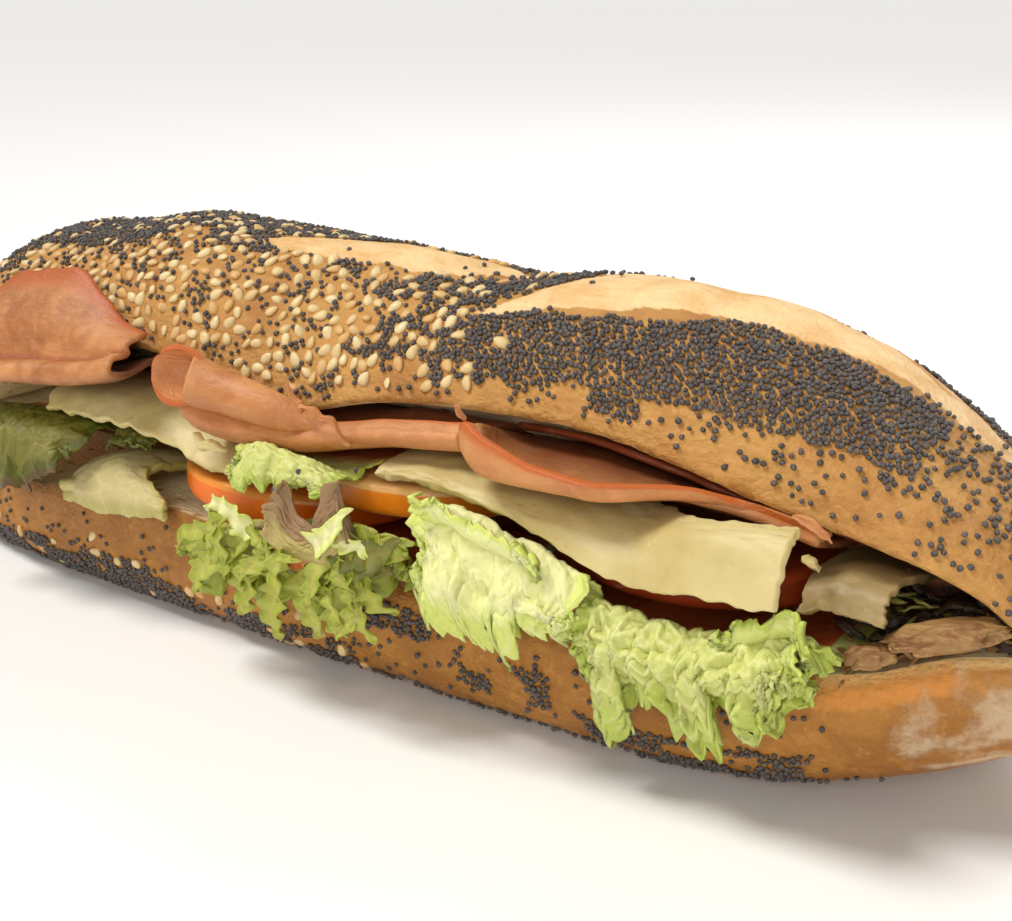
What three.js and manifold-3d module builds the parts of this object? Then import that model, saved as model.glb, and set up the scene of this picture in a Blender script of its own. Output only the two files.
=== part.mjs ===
// A submarine sandwich: a long seeded roll, sliced lengthways and filled with folded ham, cheese,
// tomato and salad. All lengths are millimetres. +X runs along the roll, -Y is the front where the
// filling spills out, +Z is up, and the origin is at the middle of the underside.
import * as THREE from "three";
import { mergeVertices } from "three/addons/utils/BufferGeometryUtils.js";
import Module from "manifold-3d";

const wasm = await Module();
wasm.setup();

// The roll, hand shaped, so its heights are given as [place along the roll, height]
const halfLength = 145;
const halfWidth = 36;
const endRounding = 16; // both ends close over this length
const cutHeights = [
  [-145, 25], [-120, 21.5], [-80, 21.5], [-50, 25.4], [0, 22.6], [80, 22.4], [100, 25.7],
  [115, 31], [145, 34],
];
const crownHeights = [
  [-145, 17], [-125, 24], [-100, 31], [-72, 31.6], [-40, 29.4], [-8, 29.5], [22, 26.8],
  [48, 29], [72, 29], [88, 26], [100, 20.4], [115, 11.8], [145, 7],
];
const undersideHeights = [
  [-145, 6], [-125, 1], [-112, 0], [62, 0], [90, 2.5], [108, 8], [124, 15], [145, 23],
];
const frontLifts = [
  [-145, 0], [-132, 0], [-122, 8], [-100, 18], [-60, 21], [20, 24], [50, 25], [80, 22],
  [100, 17], [115, 8.5], [127, 0], [145, 0],
];
const widestLift = 25;
const backGap = 8.1; // the filling holds the halves this far apart at the back
const sideCurve = 0.48; // how steep the sides of the lower half are
const edgeCurve = 0.38; // and how square its underside is
const closedGap = 0.45; // between the two halves where they meet at the ends

// The slices and leaves
const hamThickness = 1.3;
const cheeseThickness = 2.4;
const leafThickness = 0.9;
const ribThickness = 1.5;
const tomatoThickness = 6;
const thickTomato = 6.4; // the left-hand slice

// The seeds
const sesameSize = [3.1, 1.9, 1.1];
const poppySize = [1.25, 1.15, 1.05];

const smooth = (low, high, x) => {
  const t = Math.min(1, Math.max(0, (x - low) / (high - low)));
  return t * t * (3 - 2 * t);
};
const bell = (x, centre, width) => Math.exp(-(((x - centre) / width) ** 2));
const power = (value, exponent) => Math.sign(value) * Math.abs(value) ** exponent;

// A value that runs smoothly through [place, value] pairs and never swings past them
function along(x, keys) {
  const last = keys.length - 1;
  const place = Math.min(keys[last][0], Math.max(keys[0][0], x));
  let i = 1;
  while (place > keys[i][0]) i++;
  const secant = (k) => (keys[k][1] - keys[k - 1][1]) / (keys[k][0] - keys[k - 1][0]);
  const slope = (k) => {
    if (k === 0 || k === last) return secant(Math.max(1, k));
    const [before, after] = [secant(k), secant(k + 1)];
    return before * after <= 0 ? 0 : (2 * before * after) / (before + after);
  };
  const [low, from] = keys[i - 1];
  const [high, to] = keys[i];
  const t = (place - low) / (high - low);
  const bow = (high - low) * t * (1 - t) * ((1 - t) * slope(i - 1) - t * slope(i));
  return from + (to - from) * t * t * (3 - 2 * t) + bow;
}

// Outline of the roll, as functions of the place x along it
const widthAt = (x) =>
  halfWidth * Math.sqrt(Math.max(0, 1 - Math.abs(x / halfLength) ** (x > 0 ? 2.9 : 4)));
const endAt = (x) =>
  Math.sqrt(Math.max(0, 1 - Math.max(0, 1 - (halfLength - Math.abs(x)) / endRounding) ** 2));
const cutAt = (x) => along(x, cutHeights);
const crownAt = (x) => along(x, crownHeights) * endAt(x);
const undersideAt = (x) => cutAt(x) - (cutAt(x) - along(x, undersideHeights)) * endAt(x);
const liftAt = (x) => along(x, frontLifts);
const backGapAt = (x) => closedGap + (backGap * liftAt(x)) / widestLift;
const tiltAt = (x) => Math.asin(liftAt(x) / (2 * halfWidth));
const rimSagAt = (x) => 5.2 * bell(x, -8, 17); // the front rim of the upper half dips here

// Heights inside the mouth: over the lower cut, and under the upper cut
const over = (x, rise) => cutAt(x) + rise;
const upperCut = (x, y) => cutAt(x) + backGapAt(x) + (widthAt(x) - y) * Math.tan(tiltAt(x));
const under = (x, y, drop) => upperCut(x, y) - drop;

// How far forward the lower crust reaches at height z
function crustFront(x, z) {
  const depth = Math.min(1, Math.max(0, (cutAt(x) - z) / (cutAt(x) - undersideAt(x))));
  const sine = depth ** (1 / sideCurve);
  return -widthAt(x) * Math.sqrt(1 - sine * sine) ** edgeCurve;
}

// Closed solids from rings of points, one ring for each station along the roll
function solidOfRings(rings) {
  const points = rings.flat();
  const size = rings[0].length;
  const faces = [];
  for (let i = 0; i + 1 < rings.length; i++)
    for (let j = 0; j < size; j++) {
      const a = i * size + j;
      const b = i * size + ((j + 1) % size);
      faces.push([a, b, b + size], [a, b + size, a + size]);
    }
  return solidOf(points, faces);
}

function solidOf(points, faces) {
  const geometry = new THREE.BufferGeometry().setFromPoints(points);
  geometry.setIndex(faces.flat());
  const merged = mergeVertices(geometry, 1e-3);
  const index = merged.index.array;
  const kept = [];
  for (let i = 0; i < index.length; i += 3) {
    const [a, b, c] = index.slice(i, i + 3);
    if (a !== b && b !== c && c !== a) kept.push(a, b, c);
  }
  const made = new wasm.Manifold(
    new wasm.Mesh({
      numProp: 3,
      vertProperties: merged.attributes.position.array,
      triVerts: new Uint32Array(kept),
    }),
  );
  return made.volume() < 0 ? solidOf(points, faces.map(([a, b, c]) => [a, c, b])) : made;
}

function meshOf(name, solid, colour, roughness) {
  const { vertProperties, triVerts, numProp } = solid.getMesh();
  const positions = new Float32Array((vertProperties.length / numProp) * 3);
  for (let i = 0; i < positions.length / 3; i++)
    positions.set(vertProperties.subarray(i * numProp, i * numProp + 3), i * 3);
  const geometry = new THREE.BufferGeometry();
  geometry.setAttribute("position", new THREE.BufferAttribute(positions, 3));
  geometry.setIndex(new THREE.BufferAttribute(new Uint32Array(triVerts), 1));
  geometry.computeVertexNormals();
  const material = new THREE.MeshStandardMaterial({ color: colour, roughness, metalness: 0 });
  const mesh = new THREE.Mesh(geometry, material);
  mesh.name = name;
  return mesh;
}

// Stations that crowd together towards both ends, so that the tips come out round
const stationsAlong = (count) =>
  Array.from({ length: count + 1 }, (_, i) => -halfLength * Math.cos((Math.PI * i) / count));

// A point on the lower crust: turn 0 is the front rim, and pi the back rim
function lowerCrust(x, turn) {
  const depth = cutAt(x) - undersideAt(x);
  const sink = 1.06 * Math.abs(Math.sin(turn)) ** sideCurve;
  const z = Math.max(undersideAt(x), cutAt(x) - depth * sink);
  return new THREE.Vector3(x, -widthAt(x) * power(Math.cos(turn), edgeCurve), z);
}

// The baker's slashes: each is a strip that runs aslant over the crown, swollen in its middle
const slashes = [
  { start: 24, end: 126, from: 0.55, to: 1.75, swell: 2.2 },
  { start: -34, end: 30, from: 0.92, to: 1.25, swell: 1.6 },
  { start: -120, end: -30, from: 1.35, to: 1.9, swell: 1.4 },
];
function slashRelief(x, turn) {
  let relief = 0;
  for (const { start, end, from, to, swell } of slashes) {
    const t = (x - start) / (end - start);
    if (t <= 0 || t >= 1) continue;
    const middle = from + (to - from) * t;
    relief += swell * Math.sin(Math.PI * t) * bell(turn, middle, 0.24);
  }
  return relief;
}

// A point on the upper crust: turn 0 is the front rim, and pi the back rim
function upperCrust(x, turn) {
  const rise = (crownAt(x) + slashRelief(x, turn)) * Math.abs(Math.sin(turn)) ** 0.85;
  const sag = rimSagAt(x) * Math.max(0, Math.cos(turn)) ** 4;
  return tilted(x, widthAt(x) * (1 + power(Math.cos(turn), 0.9)), rise - sag);
}

// Turns a place in the upper half, measured from its back edge, into where the open mouth puts it
function tilted(x, forward, rise) {
  const tilt = tiltAt(x);
  return new THREE.Vector3(
    x,
    widthAt(x) - forward * Math.cos(tilt) + rise * Math.sin(tilt),
    cutAt(x) + backGapAt(x) + forward * Math.sin(tilt) + rise * Math.cos(tilt),
  );
}

// Each half is a crust and a cut face
function lowerHalf() {
  const turns = 13;
  return solidOfRings(
    stationsAlong(32).map((x) => {
      const ring = [];
      for (let j = 0; j <= turns; j++) ring.push(lowerCrust(x, (Math.PI * j) / turns));
      ring.push(new THREE.Vector3(x, 0, cutAt(x) - 0.4));
      return ring;
    }),
  );
}
function upperHalf() {
  const turns = 15;
  return solidOfRings(
    stationsAlong(38).map((x) => {
      const ring = [];
      for (let j = 0; j <= turns; j++) ring.push(upperCrust(x, (Math.PI * j) / turns));
      for (const forward of [0.8, 1.72]) ring.push(tilted(x, forward * widthAt(x), 0.3));
      return ring;
    }),
  );
}

// A curve through a few (y, z) points, at share t of its length
function pathAt(points, t) {
  const curve = new THREE.CatmullRomCurve3(
    points.map(([y, z]) => new THREE.Vector3(0, y, z)),
    false,
    "centripetal",
  );
  return curve.getPoint(Math.min(1, Math.max(0, t)));
}

// A slice or leaf: its section is a path of (y, z) points that changes along x
function sheet({ from, to, section, thickness, steps, wave = () => 0, shift = () => 0 }) {
  const [across, down] = steps;
  const place = (i, j) => {
    const u = Math.min(1, Math.max(0, i / across));
    const v = Math.min(1, Math.max(0, j / down));
    const x = from + (to - from) * u;
    const point = pathAt(section(x), v);
    return new THREE.Vector3(x + shift(u, v), point.y, point.z);
  };
  const middle = [];
  for (let i = 0; i <= across; i++) {
    for (let j = 0; j <= down; j++) {
      const acrossStep = place(Math.min(across, i + 0.5), j).sub(place(Math.max(0, i - 0.5), j));
      const downStep = place(i, Math.min(down, j + 0.5)).sub(place(i, Math.max(0, j - 0.5)));
      const normal = acrossStep.cross(downStep).normalize();
      const point = place(i, j).addScaledVector(normal, wave(i / across, j / down));
      middle.push({ point, normal });
    }
  }
  const count = middle.length;
  const points = [0.5, -0.5].flatMap((side) =>
    middle.map(({ point, normal }) => point.clone().addScaledVector(normal, side * thickness)),
  );
  const at = (i, j) => i * (down + 1) + j;
  const faces = [];
  for (let i = 0; i < across; i++)
    for (let j = 0; j < down; j++) {
      const [a, b, c, d] = [at(i, j), at(i + 1, j), at(i + 1, j + 1), at(i, j + 1)];
      faces.push([a, b, c], [a, c, d]);
      faces.push([c + count, b + count, a + count], [d + count, c + count, a + count]);
    }
  const rim = [];
  for (let i = 0; i < across; i++) rim.push(at(i, 0));
  for (let j = 0; j < down; j++) rim.push(at(across, j));
  for (let i = across; i > 0; i--) rim.push(at(i, down));
  for (let j = down; j > 0; j--) rim.push(at(0, j));
  rim.forEach((a, k) => {
    const b = rim[(k + 1) % rim.length];
    faces.push([b, a, a + count], [b, a + count, b + count]);
  });
  return solidOf(points, faces);
}

// Frills grow towards the free edge of a leaf
const frill = (size, waves, ripples) => (u, v) =>
  size *
  smooth(0.35, 1, v) *
  (Math.sin(Math.PI * waves * u + 3 * v) + 0.45 * Math.sin(Math.PI * ripples * u - 4 * v));

// A round slice that lies tilted on what is under it
function roundSlice({ centre, radius, slope, thickness = tomatoThickness }) {
  const sides = 20;
  const bevel = 0.9;
  const half = thickness / 2;
  const profile = [
    [0, -half],
    [radius - bevel, -half],
    [radius, -half + bevel],
    [radius, half - bevel],
    [radius - bevel, half],
    [0, half],
  ].map(([r, z]) => new THREE.Vector2(r, z));
  const geometry = new THREE.LatheGeometry(profile, sides);
  geometry.rotateX(Math.PI / 2);
  geometry.deleteAttribute("normal");
  geometry.deleteAttribute("uv");
  const position = geometry.attributes.position;
  const points = [];
  for (let i = 0; i < position.count; i++) {
    const p = new THREE.Vector3().fromBufferAttribute(position, i);
    const wobble = 1 + 0.025 * Math.sin(3 * Math.atan2(p.y, p.x) + centre[0]);
    p.x *= wobble;
    p.y *= wobble;
    p.z += slope[0] * p.x + slope[1] * p.y;
    points.push(p.add(new THREE.Vector3(...centre)));
  }
  const index = geometry.index.array;
  const faces = [];
  for (let i = 0; i < index.length; i += 3) faces.push([...index.slice(i, i + 3)]);
  return solidOf(points, faces);
}

// An uneven lump, such as a strip of cooked meat
function lump({ centre, size, turn, bumps, detail }) {
  const geometry = new THREE.IcosahedronGeometry(1, detail);
  geometry.deleteAttribute("normal");
  geometry.deleteAttribute("uv");
  const position = geometry.attributes.position;
  const points = [];
  const faces = [];
  for (let i = 0; i < position.count; i++) {
    const p = new THREE.Vector3().fromBufferAttribute(position, i);
    const swell = 1 + bumps * Math.sin(5 * p.x + 1) * Math.sin(6 * p.y) * Math.cos(4 * p.z);
    p.set(power(p.x, 0.8), power(p.y, 0.8), power(p.z, 0.8)).multiplyScalar(swell);
    p.multiply(new THREE.Vector3(...size).multiplyScalar(0.5));
    p.applyAxisAngle(new THREE.Vector3(0, 0, 1), turn[0]);
    p.applyAxisAngle(new THREE.Vector3(0, 1, 0), turn[1]);
    points.push(p.add(new THREE.Vector3(...centre)));
    if (i % 3 === 2) faces.push([i - 2, i - 1, i]);
  }
  return solidOf(points, faces);
}

// Ham, folded so that it spills out at the front
const hamLeft = sheet({
  from: -97,
  to: -39.5,
  thickness: hamThickness,
  steps: [12, 15],
  section: (x) => {
    const stand = along(x, [
      [-97, 0.1], [-90, 0.6], [-80, 0.95], [-66, 1], [-55, 0.66], [-46, 0.28], [-39.5, 0.1],
    ]);
    const lowest = along(x, [[-97, 41.6], [-75, 43.4], [-50, 46.5], [-39.5, 49.5]]);
    return [
      [31, under(x, 31, 1.3)],
      [-24, under(x, -24, 2.2)],
      [-33, lowest + 2.2],
      [-40, lowest],
      [-44.6, lowest + 1.2],
      [-43.4, lowest + 4.4],
      [-40.4, lowest + 5.6],
      [-39.4 + 1.5 * stand, lowest + 7 + 5.5 * stand],
      [-35 + 6.5 * stand, lowest + 7 + 16.5 * stand],
    ];
  },
});
const hamMiddle = sheet({
  from: -38,
  to: 35.6,
  thickness: hamThickness,
  steps: [13, 17],
  section: (x) => {
    const top = along(x, [[-38, 54.6], [-30, 54.4], [-15, 50.4], [0, 49], [20, 52], [36, 54]]);
    const bottom = along(x, [[-38, 47.6], [-30, 45.9], [-15, 44], [0, 44.2], [20, 48.4], [36, 50.6]]);
    const neck = along(x, [
      [-38, 51.4], [-24, 48.6], [-15, 46.6], [0, 45.8], [12, 49.2], [22, 51.6], [36, 52],
    ]);
    const reach = along(x, [[-38, -43.6], [-15, -43.8], [0, -41.5], [36, -38.5]]);
    const nose = 1 - smooth(-38, -33, x); // the slice turns back on itself here
    const floor = bottom + 0.3 + (top - bottom - 1.2) * nose;
    const back = -27 - 7 * nose;
    return [
      [31, under(x, 31, 1.3)],
      [-16, under(x, -16, 1.8)],
      [back + 1.5, Math.min(Math.max(neck, floor + 2.5), under(x, back + 1.5, 1.8))],
      [back - 1, Math.min(floor + 0.9, under(x, back - 1, 1.8))],
      [back - 4.5, Math.min(floor, under(x, back - 4.5, 1.6))],
      [reach + 4.5, floor - 0.3],
      [reach + 0.8, (top + bottom) / 2 - 1.2],
      [reach, (top + bottom) / 2 + 0.4],
      [reach + 1.2, top - 0.6],
      [reach + 3, top + 0.2],
    ];
  },
});
const hamRight = sheet({
  from: 37,
  to: 93,
  thickness: hamThickness,
  steps: [12, 10],
  section: (x) => {
    const floor = along(x, [[37, 54.5], [39.5, 51.4], [45, 49.2], [60, 49], [70, 49.2], [80, 48], [93, 44.4]]);
    const lip = along(x, [
      [37, 54], [41, 58], [46, 56], [54, 53.2], [75, 51.4], [82, 49.2], [93, 45.8],
    ]);
    const reach = along(x, [
      [37, -39.5], [40, -43], [45, -45], [62, -44.4], [74, -36], [82, -31.5], [93, -28],
    ]);
    return [
      [2, under(x, 2, 3.1)],
      [-10, under(x, -10, 3.1)],
      [-22, under(x, -22, 3.2)],
      [reach * 0.6 - 12.5, floor + 0.4],
      [reach + 4, floor],
      [reach + 0.6, floor + 1.2],
      [reach, lip],
    ];
  },
});
const hamFlat = sheet({
  from: 36.2,
  to: 112,
  thickness: hamThickness,
  steps: [9, 4],
  section: (x) => {
    const front = -along(x, [[36, 26], [40, 27], [60, 30], [76, 28], [88, 23], [112, 20]]);
    const back = widthAt(x) - 3;
    return [0, 1, 2].map((k) => {
      const y = back + ((front - back) * k) / 2;
      return [y, under(x, y, 1.25)];
    });
  },
});

// Cheese, one slice drooping over the front
const cheeseLeft = sheet({
  from: -66,
  to: -13.5,
  thickness: cheeseThickness - 0.4,
  steps: [11, 7],
  section: (x) => {
    const front = along(x, [[-66, 44.2], [-40, 43.8], [-26, 41.2], [-13.5, 39]]);
    return [
      [31, under(x, 31, 3.5)],
      [0, under(x, 0, 4.2)],
      [-20, Math.min(front + 0.6, under(x, -20, 4.4))],
      [-34, front + 0.2],
      [-39.6, front - 4],
    ];
  },
});
const cheeseMiddle = sheet({
  from: 19.5,
  to: 94,
  thickness: cheeseThickness,
  steps: [15, 6],
  section: (x) => {
    const back = along(x, [[17, -6], [45, -14], [66, -25], [76, -34.5], [84, -37], [94, -37.5]]);
    const crest = along(x, [[17, 44.9], [30, 46.6], [50, 45.8], [66, 44.6], [80, 47.4], [94, 49.4]]);
    const droop = along(x, [[17, 1.4], [45, 3.2], [60, 6.2], [72, 8.6], [94, 10.4]]);
    const front = along(x, [[17, -40.5], [50, -42], [94, -45.2]]);
    const shoulder = back + (front - back) * along(x, [[17, 0.8], [60, 0.7], [94, 0.45]]);
    const room = along(x, [[17, 4.1], [30, 4.1], [37, 5.5], [60, 5.5], [72, 3]]);
    const inner = Math.min(crest, under(x, back, room));
    return [
      [back, along(x, [[17, inner], [70, inner], [80, crest]])],
      [(back + shoulder) / 2, crest - 0.1],
      [shoulder, crest - 0.12 * droop],
      [front + 1.6, crest - 0.5 * droop],
      [front, crest - droop],
    ];
  },
});
const cheeseRight = sheet({
  from: 91,
  to: 104,
  thickness: cheeseThickness - 0.4,
  steps: [5, 5],
  section: (x) => {
    const front = along(x, [[91, 37.4], [97, 39], [104, 38.6]]);
    return [
      [14, under(x, 14, 5)],
      [-8, under(x, -8, 5.2)],
      [-24, front + 0.4],
      [-28.5, front - 0.8],
      [-30.4, front - 4.2],
    ];
  },
});

// Tomato slices
const tomatoLeft = roundSlice({
  centre: [-16, -16.3, 30.1],
  radius: 23.8,
  slope: [-0.03, -0.06],
  thickness: thickTomato,
});
const tomatoMiddle = roundSlice({ centre: [15, -18.5, 36.9], radius: 20.3, slope: [0.02, -0.07] });
const tomatoRight = roundSlice({ centre: [67, -14, 33.6], radius: 23.5, slope: [0, -0.08] });

// Salad leaves
const leafRib = sheet({
  from: -61,
  to: -31.5,
  thickness: ribThickness,
  steps: [7, 9],
  wave: (u, v) => 0.5 * Math.sin(Math.PI * 6 * v) * smooth(0.3, 0.6, v),
  shift: (u, v) => -10.5 * u * (1 - smooth(0.5, 0.85, v)), // round the tomato
  section: (x) => {
    const top = along(x, [[-61, 28], [-55, 31], [-42, 33], [-31.5, 31.5]]);
    const bottom = along(x, [[-61, 22.6], [-50, 22], [-31.5, 24.4]]);
    return [
      [14, over(x, 3)],
      [-14, over(x, 3)],
      [-30, top - 1],
      [-37.6, top - 1.6],
      [-40.4, (top + bottom) / 2],
      [-39.8, bottom],
    ];
  },
});
const leafInner = sheet({
  from: -53,
  to: -41.5,
  thickness: leafThickness,
  steps: [6, 6],
  wave: (u, v) => 0.5 * Math.sin(Math.PI * 5 * u + 2 * v),
  section: (x) => {
    const front = along(x, [[-53, 36], [-46, 38.2], [-41.5, 37.4]]);
    return [
      [24, over(x, 4.8)],
      [0, over(x, 8.5)],
      [-22, front - 1],
      [-32, front],
      [-36.6, front - 2.2],
    ];
  },
});
const leafFarLeft = sheet({
  from: -95,
  to: -54.5,
  thickness: leafThickness,
  steps: [11, 8],
  wave: frill(1.2, 6, 11),
  section: (x) => {
    const top = along(x, [[-95, 36], [-75, 38.6], [-62, 38.6], [-54.5, 37.4]]);
    const bottom = along(x, [
      [-95, 29], [-90, 21], [-84, 19.5], [-76, 22], [-68, 21], [-62, 27], [-54.5, 32],
    ]);
    return [
      [20, over(x, 6)],
      [-10, over(x, 9)],
      [-28, top - 3],
      [-36, top],
      [-42.5, top - 2],
      [-44.6, (top + bottom) / 2],
      [-43.4, bottom],
    ];
  },
});
const leafSmall = sheet({
  from: -8,
  to: 15.5,
  thickness: leafThickness,
  steps: [9, 8],
  wave: frill(0.7, 5, 9),
  section: (x) => {
    const inner = along(x, [[-8, 41], [0, 41.4], [15.5, 43]]);
    const top = along(x, [[-8, 44.4], [-2, 46.4], [7, 45.6], [15.5, 43.4]]);
    const bottom = along(x, [[-8, 39], [-3, 36.6], [5, 39.4], [15.5, 41.4]]);
    return [
      [-20, inner - 0.4],
      [-30, inner - 0.1],
      [-39, inner],
      [-44.5, top],
      [-47.4, (top + bottom) / 2],
      [-47, bottom],
    ];
  },
});
const leafRedTipped = sheet({
  from: -23,
  to: 29,
  thickness: leafThickness,
  steps: [16, 10],
  wave: frill(1.5, 10, 17),
  section: (x) => {
    const top = along(x, [[-27, 23.6], [-14, 28.5], [0, 32.5], [16, 35], [29, 35.5]]);
    const bottom = along(x, [
      [-27, 21], [-20, 10.5], [-12, 13], [-5, 8.4], [2, 12], [9, 10.5], [18, 17], [29, 22],
    ]);
    const middle = (top + bottom) / 2;
    return [
      [26, over(x, 1)],
      [-34, over(x, 2.1)],
      [-40.6, (over(x, 2) + top) / 2],
      [-43.2, top],
      [-45.6, top - 3.4],
      [Math.min(-43, crustFront(x, middle) - 6), middle],
      [crustFront(x, bottom) - 4.2, bottom],
    ];
  },
});
const leafRedLobe = sheet({
  from: 3,
  to: 22,
  thickness: leafThickness,
  steps: [7, 5],
  wave: (u, v) => 0.5 * Math.sin(Math.PI * 3 * u) * v,
  shift: (u, v) => 3 * v * v * (1 - 0.6 * u),
  section: (x) => {
    const tip = along(x, [[3, 35], [7, 40.5], [12, 42.4], [18, 43], [22, 41]]);
    const foot = along(x, [[3, 30], [8, 27], [15, 27], [22, 33]]);
    return [
      [-48.6, foot],
      [-50.6, foot + 4],
      [-50.8, (foot + 4 + tip) / 2],
      [-50, tip],
    ];
  },
});
const leafCurlyLeft = sheet({
  from: 30.5,
  to: 61,
  thickness: leafThickness,
  steps: [13, 10],
  wave: frill(1.4, 7, 13),
  section: (x) => {
    const top = along(x, [[30.5, 43.4], [40, 42], [52, 39.8], [61, 36.4]]);
    const bottom = along(x, [[30.5, 30], [34, 17], [38, 14], [43, 17], [49, 14.6], [54, 21], [61, 27]]);
    return [
      [30, over(x, 1.2)],
      [-33, over(x, 3.2)],
      [-37.6, (over(x, 3.2) + top) / 2],
      [-42.4, top],
      [-46.4, top - 6],
      [-47.4, (top + bottom) / 2],
      [crustFront(x, bottom) - 5, bottom],
    ];
  },
});
const leafCurlyRight = sheet({
  from: 62.5,
  to: 98,
  thickness: leafThickness,
  steps: [14, 10],
  wave: frill(1.4, 8, 14),
  section: (x) => {
    const top = along(x, [[62.5, 32.6], [78, 32], [88, 33.6], [98, 35.4]]);
    const bottom = along(x, [
      [62.5, 20], [65, 8], [68, 5.4], [73, 13], [80, 7.4], [86, 14], [92, 13], [98, 26],
    ]);
    const middle = (top + bottom) / 2;
    return [
      [28, over(x, 1.2)],
      [-31, over(x, 3)],
      [-37, (over(x, 2) + top) / 2 + 0.5],
      [-41.4, top],
      [-45.4, top - 4.5],
      [Math.min(-43, crustFront(x, middle) - 6.5), middle],
      [crustFront(x, bottom) - 5, bottom],
    ];
  },
});
const leafDark = sheet({
  from: 100,
  to: 121.5,
  thickness: leafThickness,
  steps: [10, 6],
  wave: (u, v) => 0.7 * v * (1 - 0.5 * u) * Math.sin(Math.PI * 7 * u + 2 * v),
  section: (x) => {
    const room = (y) => upperCut(x, y) - cutAt(x);
    const front = 8 - widthAt(x);
    const share = along(x, [[100, 0.22], [106, 0.3], [112, 0.5], [121.5, 0.5]]);
    return [
      [12, over(x, 0.5 * share * room(12) + 0.7)],
      [-6, over(x, 0.8 * share * room(-6) + 0.4)],
      [front, over(x, share * room(front))],
    ];
  },
});

// Scraps of cooked meat at the right-hand end
const meatStrip = lump({
  centre: [111.9, -26.2, 34],
  size: [16.4, 8, 3.8],
  turn: [0.5, -0.2],
  bumps: 0.12,
  detail: 2,
});
const meatScrap = lump({
  centre: [102, -29.2, 29.3],
  size: [7.4, 4.6, 3.2],
  turn: [0.2, -0.25],
  bumps: 0.2,
  detail: 1,
});

// Seeds: pressed into the crust where the baker rolled it in them
let seedState = 20517;
const random = () => {
  seedState = (seedState * 1664525 + 1013904223) % 4294967296;
  return seedState / 4294967296;
};
function seedAt(crust, x, turn, size) {
  const step = 0.02;
  const place = crust(x, turn);
  const alongRoll = crust(x + 1, turn).sub(place).normalize();
  const round = crust(x, turn + step).sub(crust(x, turn - step)).normalize();
  const normal = alongRoll.clone().cross(round).normalize();
  if (normal.dot(place.clone().sub(new THREE.Vector3(x, 0, cutAt(x) + 8))) < 0) normal.negate();
  const heading = random() * Math.PI;
  const long = alongRoll.multiplyScalar(Math.cos(heading)).addScaledVector(round, Math.sin(heading));
  long.addScaledVector(normal, -long.dot(normal)).normalize();
  const basis = new THREE.Matrix4().makeBasis(long, normal.clone().cross(long), normal);
  const rings = size[0] > 2 ? 3 : 2;
  const geometry = new THREE.SphereGeometry(0.53, rings + 3, rings).rotateX(Math.PI / 2);
  geometry.scale(...size).applyMatrix4(basis).translate(...place.addScaledVector(normal, 0.14 * size[2]));
  geometry.deleteAttribute("normal");
  geometry.deleteAttribute("uv");
  const points = [];
  for (let i = 0; i < geometry.attributes.position.count; i++)
    points.push(new THREE.Vector3().fromBufferAttribute(geometry.attributes.position, i));
  const index = geometry.index.array;
  const faces = [];
  for (let i = 0; i < index.length; i += 3) faces.push([...index.slice(i, i + 3)]);
  return solidOf(points, faces);
}
function scatter(crust, { count, size, ends, turns, apart, wanted, taken }) {
  const seeds = [];
  for (let tries = 0; seeds.length < count && tries < 60 * count; tries++) {
    const x = ends[0] + (ends[1] - ends[0]) * random();
    const turn = turns[0] + (turns[1] - turns[0]) * random();
    if (random() > wanted(x, turn)) continue;
    const place = crust(x, turn);
    if (taken.some((other) => other.distanceTo(place) < apart)) continue;
    taken.push(place);
    seeds.push(seedAt(crust, x, turn, size));
  }
  return seeds;
}
const bareStrip = (x, turn) => Math.min(1, 0.75 * slashRelief(x, turn));
const takenUpper = [];
const upperSeeds = [
  ...scatter(upperCrust, {
    count: 50,
    size: sesameSize,
    ends: [-128, 30],
    turns: [0.2, 2.9],
    apart: 5.5,
    wanted: (x, turn) => (1 - bareStrip(x, turn)) * along(x, [[-128, 0.7], [-20, 1], [30, 0.35]]),
    taken: takenUpper,
  }),
  ...scatter(upperCrust, {
    count: 44,
    size: poppySize,
    ends: [-128, 132],
    turns: [0.12, 2.95],
    apart: 3.2,
    wanted: (x, turn) => (1 - bareStrip(x, turn)) * along(x, [[-40, 0.3], [30, 1], [130, 1]]),
    taken: takenUpper,
  }),
];
const takenLower = [];
const lowerSeeds = [
  ...scatter(lowerCrust, {
    count: 9,
    size: sesameSize,
    ends: [-125, 10],
    turns: [0.1, 0.9],
    apart: 6,
    wanted: () => 1,
    taken: takenLower,
  }),
  ...scatter(lowerCrust, {
    count: 6,
    size: sesameSize,
    ends: [-125, 60],
    turns: [2.25, 3.0],
    apart: 8,
    wanted: () => 1,
    taken: takenLower,
  }),
  ...scatter(lowerCrust, {
    count: 12,
    size: poppySize,
    ends: [-125, 105],
    turns: [0.12, 0.8],
    apart: 3.4,
    wanted: () => 1,
    taken: takenLower,
  }),
];
const seeded = (half, seeds) =>
  wasm.Manifold.union([half, ...seeds])
    .asOriginal()
    .simplify(0.06)
    .decompose()
    .sort((a, b) => b.volume() - a.volume())[0];
const breadTop = seeded(upperHalf(), upperSeeds);
const breadBottom = seeded(lowerHalf(), lowerSeeds);

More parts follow.
